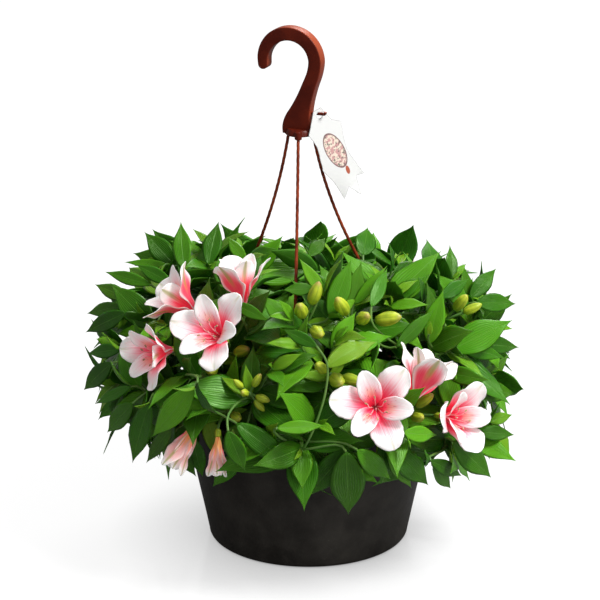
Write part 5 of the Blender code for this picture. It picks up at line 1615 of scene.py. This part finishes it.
# Room in front of the blooms and buds. Those with a centre before this y are seen from the front.
bloomClear = {"places": (0.30, 0.52, 0.74, 0.92), "shares": (0.30, 0.44, 0.46, 0.30), "ahead": 0.0095,
              "radius": 0.0082, "seenBefore": 0.03}
for shoot in shoots:
    shoot["fill"], shoot["young"] = [], []
for umbel in umbels:
    for bloom in umbel["blooms"]:
        if bloom["spec"][3] < bloomSizes["closedBloom"]:
            room.addBall(bloom["foot"] + unit(bloom["spec"][2]) * 0.026 + np.array([0, -0.024, 0.008]), 0.019)
        for tepal in tepalsOf(bloom):
            for t, share in zip(bloomClear["places"], bloomClear["shares"]):
                centre = bladeFrame(tepal, t)[0]
                if umbel["centre"][1] < bloomClear["seenBefore"]:
                    keepInView(centre, tepal["width"] * share)
                else:
                    room.addBall(centre + unit(bloom["spec"][2]) * bloomClear["ahead"], bloomClear["radius"])
    for points, radii in umbel["buds"]:
        if umbel["centre"][1] < bloomClear["seenBefore"]:
            for point in points[3:]:
                keepInView(point, budSizes["radius"] * 0.8)
chance = random.Random(sideSizes["seed"])
sides = growSides(shoots, room, chance)
growing = random.Random(fillSizes["seed"])
for shoot in shoots + sides:
    youngLeaves(shoot, room, growing)
growRosettes(sides, room, chance)
growRosettes([s for s in shoots if not s["name"]], room, chance)
openSky = fillMound(shoots + sides, room, growing)
added = sum(len(s["fill"]) + len(s["young"]) for s in shoots + sides)
print("side shoots:", len(sides), "leaves added:", added, "open to the sky:", round(openSky, 3))
chance = random.Random(fillSizes["seed"] + 1)

# Trees and forms
blades, stalks, heads, crumbs = bladeTree(), stalkTree(), headTree(), crumbTree()
leafShape = bladeForm("leafForm", pointedOutline, 8, 14)
smallShape = bladeForm("smallForm", pointedOutline, 6, 11)
youngShape = bladeForm("youngForm", pointedOutline, 4, 7)
outerShape = bladeForm("outerForm", outerFine, 12, 22)
innerShape = bladeForm("innerForm", innerFine, 10, 20)
budShape = headForm("budForm", [(0, 0.30), (0.05, 0.55), (0.18, 0.84), (0.34, 1.0), (0.55, 0.99),
                                (0.75, 0.80), (0.90, 0.46), (1.0, 0.10)], 6, 0.13, 36, 18, 0.25)
ovaryShape = headForm("ovaryForm", [(0, 0.35), (0.2, 0.8), (0.5, 1.0), (0.85, 0.85), (1.0, 0.6)],
                      6, 0.22, 24, 8)
antherShape = headForm("antherForm", [(0, 0.3), (0.2, 0.9), (0.5, 1.0), (0.8, 0.9), (1.0, 0.3)],
                       2, 0.3, 12, 6)
print("trees and forms made")


# Leaves or tepals, one blade on each root
def bladeMesh(leaves, tones, young, form, thickness, ripple, look, flush=0.0):
    own = ("root", "along", "face", "length", "bend", "twist", "fold")
    values = {key: [b[key] for b in leaves] for key in own}
    values.update({"half": [b["width"] / 2 for b in leaves], "tone": tones, "young": young,
                   "phase": [37.0 * (b["root"][0] + b["along"][1]) for b in leaves],
                   "flush": [flush] * len(leaves)})
    return grown(pointMesh(values["root"], values), blades, Form=form, Thickness=thickness, Ripple=ripple,
                 Finish=look)


# Buds, ovaries or anthers, each given by its place, direction, radius, length and blush
def headMesh(given, form, look):
    places, axes, radii, lengths, blush = zip(*given)
    values = {"axis": axes, "scale": [(r, r, length) for r, length in zip(radii, lengths)], "blush": blush}
    return grown(pointMesh(places, values), heads, Form=form, Finish=look)


# How pale a leaf is: most are a little, and of the short ones a few are more so
def freshness(leaf):
    pale = 0.10 * chance.random()
    few = leaf["length"] < leafLook["youngUnder"] and chance.random() < 1 / leafLook["oneIn"]
    return pale + (leafLook["young"] * chance.random() if few else 0.0)


# Shoots, each with the side shoots that leave it
leafLook = {"thickness": 0.0006, "ripple": 0.10, "smallRipple": 0.08, "youngRipple": 0.05, "stemSides": 8,
            "stemSpacing": 0.006, "young": 0.60, "youngUnder": 0.062, "oneIn": 9}
for i, shoot in enumerate(shoots):
    name = f"shoot_{i + 1:02d}"
    own = [s for s in sides if s["parent"] == i]
    small, young = ([b for s in [shoot] + own for b in s[kind]] for kind in ("fill", "young"))
    meshes = []
    for leaves, form, ripple in ((shoot["leaves"], leafShape, leafLook["ripple"]),
                                 (small, smallShape, leafLook["smallRipple"])):
        if leaves:
            tones = [min(1.0, max(0.0, chance.gauss(0.5, 0.29))) for _ in leaves]
            fresh = [freshness(b) for b in leaves]
            meshes.append(bladeMesh(leaves, tones, fresh, form, leafLook["thickness"], ripple, leafGreen))
    if young:
        fresh = [0.15 + 0.50 * chance.random() for _ in young]
        meshes.append(bladeMesh(young, [0.8] * len(young), fresh, youngShape, leafLook["thickness"],
                                leafLook["youngRipple"], leafGreen))
    radii = [moundSizes["stemRadius"]] * (len(shoot["path"]) - 1) + [moundSizes["stemRadius"] * 0.8]
    lines = [(shoot["path"], radii)] + [(s["path"], [sideSizes["radius"]] * len(s["path"])) for s in own]
    meshes.append(grown(lineMesh(lines), stalks, Sides=leafLook["stemSides"], Spacing=leafLook["stemSpacing"],
                        Finish=stemGreen))
    piece(name + "_leaves", joined(meshes), name)
print("shoots grown")

# Umbels: stalks, with the buds and ovaries on their ends, and a hub
umbelLook = {"stalkSides": 10, "stalkSpacing": 0.003, "hubRadius": 0.0032, "hubLength": 0.0062,
             "hubDrop": 0.003, "ovaryStretch": 1.1, "blush": 0.9}
for umbel, shoot in zip(umbels, shoots):
    name = "umbel_" + umbel["name"]
    lines = [(stalk[:5], [bloomSizes["pedicelRadius"]] * 5) for stalk in umbel["stalks"]]
    lines += [(points[:4], [radii[0]] * 4) for points, radii in umbel["buds"]]
    ovaries = [(s[3], unit(s[5] - s[3]), bloomSizes["ovaryRadius"],
                bloomSizes["ovaryLength"] * umbelLook["ovaryStretch"], 0.0) for s in umbel["stalks"]]
    buds = [(p[2], unit(p[-1] - p[2]), r[3] * budSizes["swell"], norm(p[-1] - p[2]),
             umbelLook["blush"] * chance.random()) for p, r in umbel["buds"]]
    hub = [(umbel["centre"] - unit(shoot["axis"]) * umbelLook["hubDrop"], shoot["axis"],
            umbelLook["hubRadius"], umbelLook["hubLength"], 0.0)]
    meshes = [grown(lineMesh(lines), stalks, Sides=umbelLook["stalkSides"], Spacing=umbelLook["stalkSpacing"],
                    Finish=stemGreen), headMesh(buds, budShape, budSkin)]
    if ovaries:
        meshes.append(headMesh(ovaries, ovaryShape, budSkin))
    meshes.append(headMesh(hub, ovaryShape, stemGreen))
    piece(name + "_buds", joined(meshes), name)
print("umbels grown")

# Blooms: three outer and three inner tepals, six stamens that droop and rise again, and a style
bloomLook = {"thickness": 0.0005, "outerRipple": 0.16, "innerRipple": 0.10, "filamentRadius": 0.00045,
             "filamentSides": 7, "filamentSpacing": 0.002, "stamenReach": 0.025, "antherLength": 0.0034,
             "antherRadius": 0.0009}
for umbel in umbels:
    for bloom in umbel["blooms"]:
        name, _, facing, opening, size = bloom["spec"]
        axis, foot, size = unit(facing), bloom["foot"], size * bloom["scale"]
        tepals = tepalsOf(bloom)
        flush = 0.30 + 0.45 * chance.random()
        closed = [float(opening < bloomSizes["closedBloom"])] * 3
        rings = ((outerShape, bloomLook["outerRipple"], outerPetal),
                 (innerShape, bloomLook["innerRipple"], innerPetal))
        meshes = [bladeMesh(tepals[k::2], [0.5] * 3, closed, form, bloomLook["thickness"], ripple, look,
                            flush) for k, (form, ripple, look) in enumerate(rings)]
        lines, anthers = [], []
        down = upBy(-1.0) - axis * (-axis[2])
        down = down / max(norm(down), 1e-3)
        side = cross(axis, down)
        if opening > bloomSizes["closedBloom"]:
            for k in range(7):
                turn = 2 * pi * k / 6 + 0.4
                spread = 0.0 if k == 6 else 1.0
                out = (side * cos(turn) + down * sin(turn)) * spread
                reach = bloomLook["stamenReach"] * size * (1 + 0.12 * chance.uniform(-1, 1))
                start = foot + axis * 0.004 * size + out * 0.0014
                bow = down * 0.006 * size
                points = bezier([start, start + axis * reach * 0.4 + out * 0.003 + bow * 0.3,
                                 start + axis * reach * 0.8 + out * 0.005 * size + bow,
                                 start + axis * reach + out * 0.007 * size + bow * 0.3], 6)
                lines.append((points, np.linspace(1.4, 0.8, 6) * bloomLook["filamentRadius"]))
                if spread:
                    aim = unit(out + axis * 0.5 + 0.3 * side * chance.uniform(-1, 1))
                    anthers.append((points[-1] - axis * 0.001, aim, bloomLook["antherRadius"],
                                    bloomLook["antherLength"], 0.0))
            meshes.append(grown(lineMesh(lines), stalks, Sides=bloomLook["filamentSides"],
                                Spacing=bloomLook["filamentSpacing"], Finish=filament))
            meshes.append(headMesh(anthers, antherShape, anther))
        piece("bloom_" + name + "_petals", joined(meshes), "bloom_" + name)
print("blooms grown")


# Turned solid from a profile that starts and ends on the Z axis, with smooth sides and crisp corners
def lathed(name, profile, steps, finish):
    mesh = bpy.data.meshes.new(name)
    mesh.from_pydata([(r, 0, z) for r, z in profile], [(i, i + 1) for i in range(len(profile) - 1)], [])
    obj = formObject(name, mesh)
    screw = obj.modifiers.new("Turn", "SCREW")
    screw.steps = screw.render_steps = steps
    screw.use_merge_vertices = True
    screw.merge_threshold = 1e-6
    return settled(obj, finish)


# The object's mesh with its modifiers applied, closed and facing outwards
def settled(obj, finish=None, angle=40.0):
    bpy.context.view_layer.update()
    mesh = bpy.data.meshes.new_from_object(obj.evaluated_get(bpy.context.evaluated_depsgraph_get()))
    bpy.data.objects.remove(obj)
    shape = bmesh.new()
    shape.from_mesh(mesh)
    bmesh.ops.remove_doubles(shape, verts=shape.verts, dist=1e-6)
    bmesh.ops.recalc_face_normals(shape, faces=shape.faces)
    for face in shape.faces:
        face.smooth = True
    for edge in shape.edges:
        edge.smooth = edge.calc_face_angle(0.0) < radians(angle)
    shape.to_mesh(mesh)
    shape.free()
    if finish:
        mesh.materials.clear()
        mesh.materials.append(finish)
    return mesh


def cutWith(mesh, cutters, finish, operation="DIFFERENCE"):
    obj = formObject("cut", mesh)
    group = bpy.data.collections.new("cutters")
    scene.collection.children.link(group)
    for cutter in cutters:
        group.objects.link(bpy.data.objects.new("cutter", cutter))
    modifier = obj.modifiers.new("Cut", "BOOLEAN")
    modifier.operation, modifier.operand_type, modifier.solver = operation, "COLLECTION", "EXACT"
    modifier.collection = group
    made = settled(obj, finish)
    for cutter in list(group.objects):
        bpy.data.objects.remove(cutter)
    bpy.data.collections.remove(group)
    return made


def barrel(radius, depth, centre, sides=32):
    mesh = bpy.data.meshes.new("barrel")
    shape = bmesh.new()
    bmesh.ops.create_cone(shape, cap_ends=True, cap_tris=False, segments=sides, radius1=radius,
                          radius2=radius, depth=depth)
    bmesh.ops.translate(shape, vec=Vector(centre), verts=shape.verts)
    shape.to_mesh(mesh)
    shape.free()
    return mesh


# Pot
def potRadius(height):
    drawn = potSizes["topRadius"] - potSizes["baseRadius"]
    return potSizes["baseRadius"] + drawn * height / potSizes["height"]


def makePot():
    size = potSizes
    high, heel, wall = size["height"], size["heel"], size["wall"]
    rim = size["topRadius"] + size["rimWidth"]
    inner = lambda z: potRadius(z) - wall
    lip = high - size["rimThickness"]
    profile = [(0, size["floor"]), (inner(size["floor"]) - 0.006, size["floor"]),
               (inner(0.006) - 0.002, 0.0045), (inner(0.010), 0.010)]
    profile += [(inner(z), z) for z in np.linspace(0.03, high - 0.0012, 6)]
    profile += [(inner(high) + 0.0003, high - 0.0003), (inner(high) + 0.0010, high)]
    profile += [(rim - back, high - down) for back, down in size["rimEdge"]]
    profile += [(rim - 0.0016, lip), (potRadius(lip) + 0.0008, lip), (potRadius(lip - 0.0008), lip - 0.0008)]
    profile += [(potRadius(z), z) for z in np.linspace(high - 0.012, heel * 1.4, 12)]
    for turn in np.linspace(0, 90, 7):
        a = radians(turn)
        profile.append((potRadius(heel) - heel * (1 - cos(a)), heel * (1 - sin(a))))
    profile += [(0, 0)]
    mesh = lathed("pot", profile, 128, potPlastic)
    cutters = []
    for i in range(size["drainCount"]):
        turn = 2 * pi * i / size["drainCount"]
        place = outAt(turn) * size["drainCircle"] + upBy(0.0015)
        cutters.append(barrel(size["drainRadius"], 0.02, place))
    for turn in strandSizes["angles"].values():
        place = outAt(radians(turn)) * strandSizes["circle"] + upBy(high)
        cutters.append(barrel(strandSizes["radius"] + strandSizes["holeSpare"], 0.02, place, 20))
    mesh = cutWith(mesh, cutters, potPlastic)
    # a soft moulded wall is never quite true: it wanders by a few tenths of a millimetre between rim and heel
    for vertex in mesh.vertices:
        x, y, z = vertex.co
        turn = atan2(y, x)
        sway = 0.00035 * sin(3 * turn + 1.0) + 0.00020 * sin(7 * turn + 60 * z)
        sway *= max(0.0, sin(pi * min(1.0, max(0.0, (z - 0.006) / 0.125)))) * min(1.0, hypot(x, y) / 0.09)
        vertex.co.x -= abs(sway) * cos(turn)
        vertex.co.y -= abs(sway) * sin(turn)
    piece("pot_body", mesh, "pot")


def makeSoil():
    inner = lambda z: potRadius(z) - potSizes["wall"] - potSizes["gap"] - 0.0003
    low = potSizes["floor"] + potSizes["gap"]
    profile = [(0, soilSizes["top"] + soilSizes["crown"])]
    profile += [(r, soilHeight(r)) for r in np.linspace(0.006, 0.118, 24)]
    profile += [(inner(soilSizes["top"]), soilSizes["top"]), (inner(0.0095), 0.0095),
                (inner(low) - 0.0055, low), (0, low)]
    mesh = lathed("soil", profile, 96, peat)
    place = np.array([v.co for v in mesh.vertices])
    for vertex, (x, y, z) in zip(mesh.vertices, place):
        if z > soilSizes["top"] - 0.001 and hypot(x, y) < 0.117:
            vertex.co.z += 0.0011 * sin(210 * x + 3) * sin(190 * y) + 0.0008 * sin(430 * x + 310 * y) - 0.0016
    shape = bmesh.new()
    bmesh.ops.create_icosphere(shape, subdivisions=1, radius=1.0)
    lumps = random.Random(3)
    for vertex in shape.verts:
        vertex.co *= 0.7 + 0.5 * lumps.random()
    crumb = bpy.data.meshes.new("crumb")
    shape.to_mesh(crumb)
    shape.free()
    area = pi * 0.12 ** 2
    made = grown(mesh, crumbs, Form=formObject("crumbForm", crumb), Finish=peat, Size=soilSizes["crumbSize"],
                 Seed=11, **{"Count a square metre": soilSizes["crumbs"] / area})
    piece("soil_fill", made, "soil")


# The hook's outline, both sides of a smooth line that widens from the tip to the foot
def hookOutline():
    size = hookSizes
    centreX, centreZ = size["arcCentre"]
    line = []
    for k in range(13):
        share = k / 12
        turn = radians(size["tipAngle"] * (1 - share))
        radius = size["arcRadius"] + size["flare"] * (1 - share)
        wider = size["halfWidth"] - size["tipHalfWidth"]
        half = size["tipHalfWidth"] + wider * min(1, share * 3)
        line.append((centreX + radius * cos(turn), centreZ + radius * sin(turn), half))
    line += size["neck"] + [size["foot"]]
    coarse = np.array(line)
    # the same points, joined by a smooth curve
    fine = []
    for i in range(len(coarse) - 1):
        a, b, c, d = (coarse[min(max(j, 0), len(coarse) - 1)] for j in (i - 1, i, i + 1, i + 2))
        for t in np.linspace(0, 1, 6)[:-1]:
            fine.append(0.5 * (2 * b + (c - a) * t + (2 * a - 5 * b + 4 * c - d) * t * t
                               + (3 * b - a - 3 * c + d) * t ** 3))
    fine = np.array(fine + [coarse[-1]])
    centres, half = fine[:, :2], fine[:, 2:]
    ahead = np.gradient(centres, axis=0)
    ahead /= norm(ahead, axis=1)[:, None]
    ahead[-6:] = (0, -1)
    side = np.stack([-ahead[:, 1], ahead[:, 0]], axis=1)
    outer, inner = centres + side * half, centres - side * half
    start = atan2(-ahead[0][1], -ahead[0][0])
    nose = [centres[0] + size["tipHalfWidth"] * np.array([cos(start + a), sin(start + a)])
            for a in np.radians(np.linspace(72, -72, 9))]
    return list(inner[::-1]) + nose + list(outer)


def makeHook():
    size = hookSizes
    edge = size["edge"]
    curve = bpy.data.curves.new("hook", "CURVE")
    curve.dimensions, curve.fill_mode = "2D", "BOTH"
    curve.extrude, curve.bevel_depth, curve.bevel_resolution = size["thickness"] / 2 - edge, edge, 3
    curve.offset = -edge - 0.0001
    outline = hookOutline()
    spline = curve.splines.new("POLY")
    spline.points.add(len(outline) - 1)
    for point, (x, z) in zip(spline.points, outline):
        point.co = (x, z, 0, 1)
    spline.use_cyclic_u = True
    plate = settled(formObject("plate", curve), hangerPlastic, 50.0)
    plate.transform(Matrix.Rotation(radians(90), 4, "X"))
    extras, sockets = [], []
    high = size["capHeight"]
    cap = [(0, 0.0002), (size["capRadius"] - 0.0008, 0.0002), (size["capRadius"], 0.0010),
           (size["capTopRadius"] + 0.0004, high - 0.0010), (size["capTopRadius"] - 0.0006, high),
           (0, high)]
    extras.append(lathed("cap", cap, 48, hangerPlastic))
    for turn in strandSizes["angles"].values():
        turn = radians(turn - size["yaw"])
        foot = outAt(turn) * size["bossCircle"] - upBy(size["bossDrop"])
        radius, tall = size["bossRadius"], size["bossHeight"]
        boss = lathed("boss", [(0, 0), (radius - 0.0006, 0), (radius, 0.0006), (radius, tall - 0.0008),
                               (radius - 0.0008, tall), (0, tall)], 28, hangerPlastic)
        boss.transform(Matrix.Translation(foot))
        extras.append(boss)
        depth = size["socketDepth"] + 0.004
        sockets.append(barrel(strandSizes["radius"] + strandSizes["socketSpare"], depth,
                              foot + upBy(depth / 2 - 0.004), 20))
    high, far = size["pegHeight"], size["pegLength"]
    peg = [(size["pegRoot"], 0, high), (far - 0.0060, 0, high), (far - 0.0010, 0, high), (far, 0, high),
           (far + 0.0012, 0, high + 0.0008), (far + 0.0016, 0, high + 0.0022)]
    radii = [size["pegRadius"]] * 6
    extras.append(grown(lineMesh([(np.array(peg), radii)]), stalks, Sides=14, Spacing=0.0008,
                        Finish=hangerPlastic))
    mesh = cutWith(plate, extras, hangerPlastic, "UNION")
    mesh = cutWith(mesh, sockets, hangerPlastic)
    # edge faces of the plate that turn up and to the right, towards the key light, get a painted highlight:
    # warmer and brighter
    dustAndLitEdge = [min(1.0, max(0.0, 1.5 - 2 * abs(f.normal.y)))
            * min(1.0, max(0.03, 0.02 + 0.36 * f.normal.x + 0.62 * f.normal.z))
            if f.center.z > 0.0105 else 0.0 for f in mesh.polygons]
    mesh.attributes.new("rim", "FLOAT", "FACE").data.foreach_set("value", np.array(dustAndLitEdge, np.float32))
    turn = Matrix.Rotation(radians(size["yaw"]), 4, "Z")
    mesh.transform(Matrix.Translation((size["x"], 0, size["z"])) @ turn)
    piece("hook_moulding", mesh, "hook")


# Strands: twisted bars that follow the part's own lines, each with its head under the rim
strandLook = {"turns": 46.0, "lobes": 3, "lobe": 0.06, "sides": 18, "spacing": 0.0016}


def makeStrands():
    tree = strandTree()
    for name, turn in strandSizes["angles"].items():
        route = strandRoute(turn)
        bar = grown(lineMesh([(route, [1.0] * len(route))]), tree, Radius=strandSizes["radius"],
                    Lobe=strandLook["lobe"], Finish=strandPlastic, **{"Turns a metre": strandLook["turns"]})
        x, y, z = route[-1]
        tall, end, wide = (strandSizes[key] for key in ("headHeight", "headEndRadius", "headRadius"))
        head = lathed("head", [(0, -tall), (end - 0.0004, -tall), (end, 0.0004 - tall), (wide, -0.0006),
                               (wide - 0.0003, 0.00005), (0, 0.00005)], 24, strandPlastic)
        head.transform(Matrix.Translation((x, y, z)))
        piece(name + "_twist", joined([bar, head]), name)


# Label: a thin card with a torn-looking outline, curled a little towards its tails
labelSizes = {"thickness": 0.0006, "lean": 21.0, "yaw": 30.0, "holeRadius": 0.0032, "slack": 0.0004,
              "curl": 0.0016, "line": 0.0004, "edgeShadeTone": 0.55}
labelOutline = [(-0.0045, 0.0062), (0.0040, 0.0062), (0.0105, -0.0100), (0.0190, -0.0165), (0.0158, -0.0340),
                (0.0152, -0.0460), (0.0190, -0.0610), (0.0235, -0.0765), (0.0152, -0.0740),
                (0.0130, -0.0940), (0.0035, -0.0800), (-0.0045, -0.0895), (-0.0085, -0.0700),
                (-0.0158, -0.0520), (-0.0132, -0.0280), (-0.0172, -0.0130)]


def makeLabel():
    nick = random.Random(8)
    outline = []
    for (ax, az), (bx, bz) in zip(labelOutline, labelOutline[1:] + labelOutline[:1]):
        count = max(1, int(hypot(bx - ax, bz - az) / 0.0035))
        for k in range(count):
            t = k / count
            inward = 0.0 if k == 0 else -0.0004 * nick.random()
            x, z = ax + (bx - ax) * t, az + (bz - az) * t
            outline.append((x * (1 + inward / 0.012), z))
    rounds = [2 * pi * k / 24 for k in range(24)]
    hole = [(labelSizes["holeRadius"] * cos(a), labelSizes["holeRadius"] * sin(a)) for a in rounds]
    curve = bpy.data.curves.new("label", "CURVE")
    curve.dimensions, curve.fill_mode = "2D", "BOTH"
    for ring in (outline, hole):
        spline = curve.splines.new("POLY")
        spline.points.add(len(ring) - 1)
        for point, (x, z) in zip(spline.points, ring):
            point.co = (x, z, 0, 1)
        spline.use_cyclic_u = True
    flat = settled(formObject("card", curve), labelCard)
    shape = bmesh.new()
    shape.from_mesh(flat)
    for _ in range(3):
        long = [e for e in shape.edges if e.calc_length() > 0.004 and not e.is_boundary]
        bmesh.ops.subdivide_edges(shape, edges=long, cuts=1)
        bmesh.ops.triangulate(shape, faces=shape.faces)
    for old in list(shape.loops.layers.uv):
        shape.loops.layers.uv.remove(old)
    layer = shape.loops.layers.uv.new("UVMap")
    line = shape.faces.layers.float.new("cut")
    # a narrow band just inside the outline gets painted shade: a grey line for the shade along the card's
    # edge
    inset = bmesh.ops.inset_region(shape, faces=shape.faces, thickness=labelSizes["line"], use_boundary=True)
    for face in inset["faces"]:
        face[line] = labelSizes["edgeShadeTone"]
    for face in shape.faces:
        for loop in face.loops:
            loop[layer].uv = (loop.vert.co.x, loop.vert.co.y)
    for vertex in shape.verts:
        x, z = vertex.co.x, vertex.co.y
        far = max(0.0, -z - 0.045) / 0.05
        vertex.co.z = labelSizes["curl"] * far * far * sin(190 * x + 0.6)
    shape.to_mesh(flat)
    shape.free()
    obj = formObject("card", flat)
    skin = obj.modifiers.new("Skin", "SOLIDIFY")
    skin.thickness, skin.offset = labelSizes["thickness"], 0.0
    mesh = settled(obj, labelCard)
    # the card's side faces get the full painted edge shade
    for face, mark in zip(mesh.polygons, mesh.attributes["cut"].data):
        mark.value = 1.0 if abs(face.normal.z) < 0.5 else mark.value
    yaw = radians(hookSizes["yaw"])
    high = hookSizes["z"] + hookSizes["pegHeight"] + hookSizes["pegRadius"]
    hang = Vector((hookSizes["x"] + hookSizes["pegHang"] * cos(yaw), hookSizes["pegHang"] * sin(yaw),
                   high - labelSizes["holeRadius"] + labelSizes["slack"]))
    turn = Matrix.Rotation(radians(labelSizes["yaw"]), 4, "Z") @ Matrix.Rotation(radians(90), 4, "X")
    turn = turn @ Matrix.Rotation(radians(labelSizes["lean"]), 4, "Z")
    mesh.transform(Matrix.Translation(hang) @ turn)
    piece("label_card", mesh, "label")


makePot()
makeSoil()
makeHook()
makeStrands()
makeLabel()
print("pot, soil, hook, strands and label made")

for form in list(workshop.objects):
    bpy.data.objects.remove(form)
bpy.data.collections.remove(workshop)


# Floor, light and camera
stageLook = {"floor": (0.27, 0.27, 0.27, 1), "seen": 0.80, "contact": 0.62, "contactReach": 0.10,
             "world": 0.40,
             "lights": [("key", (1.3, -0.8, 2.1), 0.8, 66.0), ("fill", (1.3, -2.0, 0.8), 1.2, 9.0),
                        ("rim", (0.4, 1.4, 1.6), 0.9, 16.0)]}
floorPaint, t = finish("floorPaint", 0.16, Specular_IOR_Level=0.50, Emission_Color=(1, 1, 1, 1),
                       Base_Color=stageLook["floor"])
# The floor glows white to the camera, and near the pot that glow is dimmed by ambient occlusion: a painted
# contact shadow
seen = t.node("ShaderNodeLightPath", out="Is Camera Ray")
near = t.node("ShaderNodeAmbientOcclusion", {"Distance": stageLook["contactReach"]}, "AO", samples=8)
contactShade = t.fma(near, stageLook["contact"], 1 - stageLook["contact"])
t.link(t.mul(seen, contactShade, stageLook["seen"]), t.shader["Emission Strength"])
floorMesh = bpy.data.meshes.new("floor")
floorMesh.from_pydata([(-9, -9, 0), (9, -9, 0), (9, 14, 0), (-9, 14, 0)], [], [(0, 1, 2, 3)])
floorMesh.materials.append(floorPaint)
floor = bpy.data.objects.new("floor", floorMesh)
scene.collection.objects.link(floor)

world = bpy.data.worlds.new("studio")
world.use_nodes = True
world.node_tree.nodes["Background"].inputs["Color"].default_value = (1, 1, 1, 1)
world.node_tree.nodes["Background"].inputs["Strength"].default_value = stageLook["world"]
scene.world = world


def softLight(name, place, size, power):
    lamp = bpy.data.lights.new(name, "AREA")
    lamp.shape, lamp.size, lamp.energy = "DISK", size, power
    obj = bpy.data.objects.new(name, lamp)
    obj.location = place
    obj.rotation_euler = (Vector((0, 0, 0.2)) - Vector(place)).to_track_quat("-Z", "Y").to_euler()
    scene.collection.objects.link(obj)


for light in stageLook["lights"]:
    softLight(*light)

cameraLook = {"place": (-0.0083, -2.6, 1.104), "aim": (-0.0083, 0, 0.2352), "lens": 173.4, "sensor": 36.0}
camera = bpy.data.objects.new("camera", bpy.data.cameras.new("camera"))
camera.data.lens, camera.data.sensor_width = cameraLook["lens"], cameraLook["sensor"]
camera.location = cameraLook["place"]
camera.rotation_euler = (Vector(cameraLook["aim"]) - camera.location).to_track_quat("-Z", "Y").to_euler()
scene.collection.objects.link(camera)
scene.camera = camera
scene.view_settings.view_transform = "Standard"
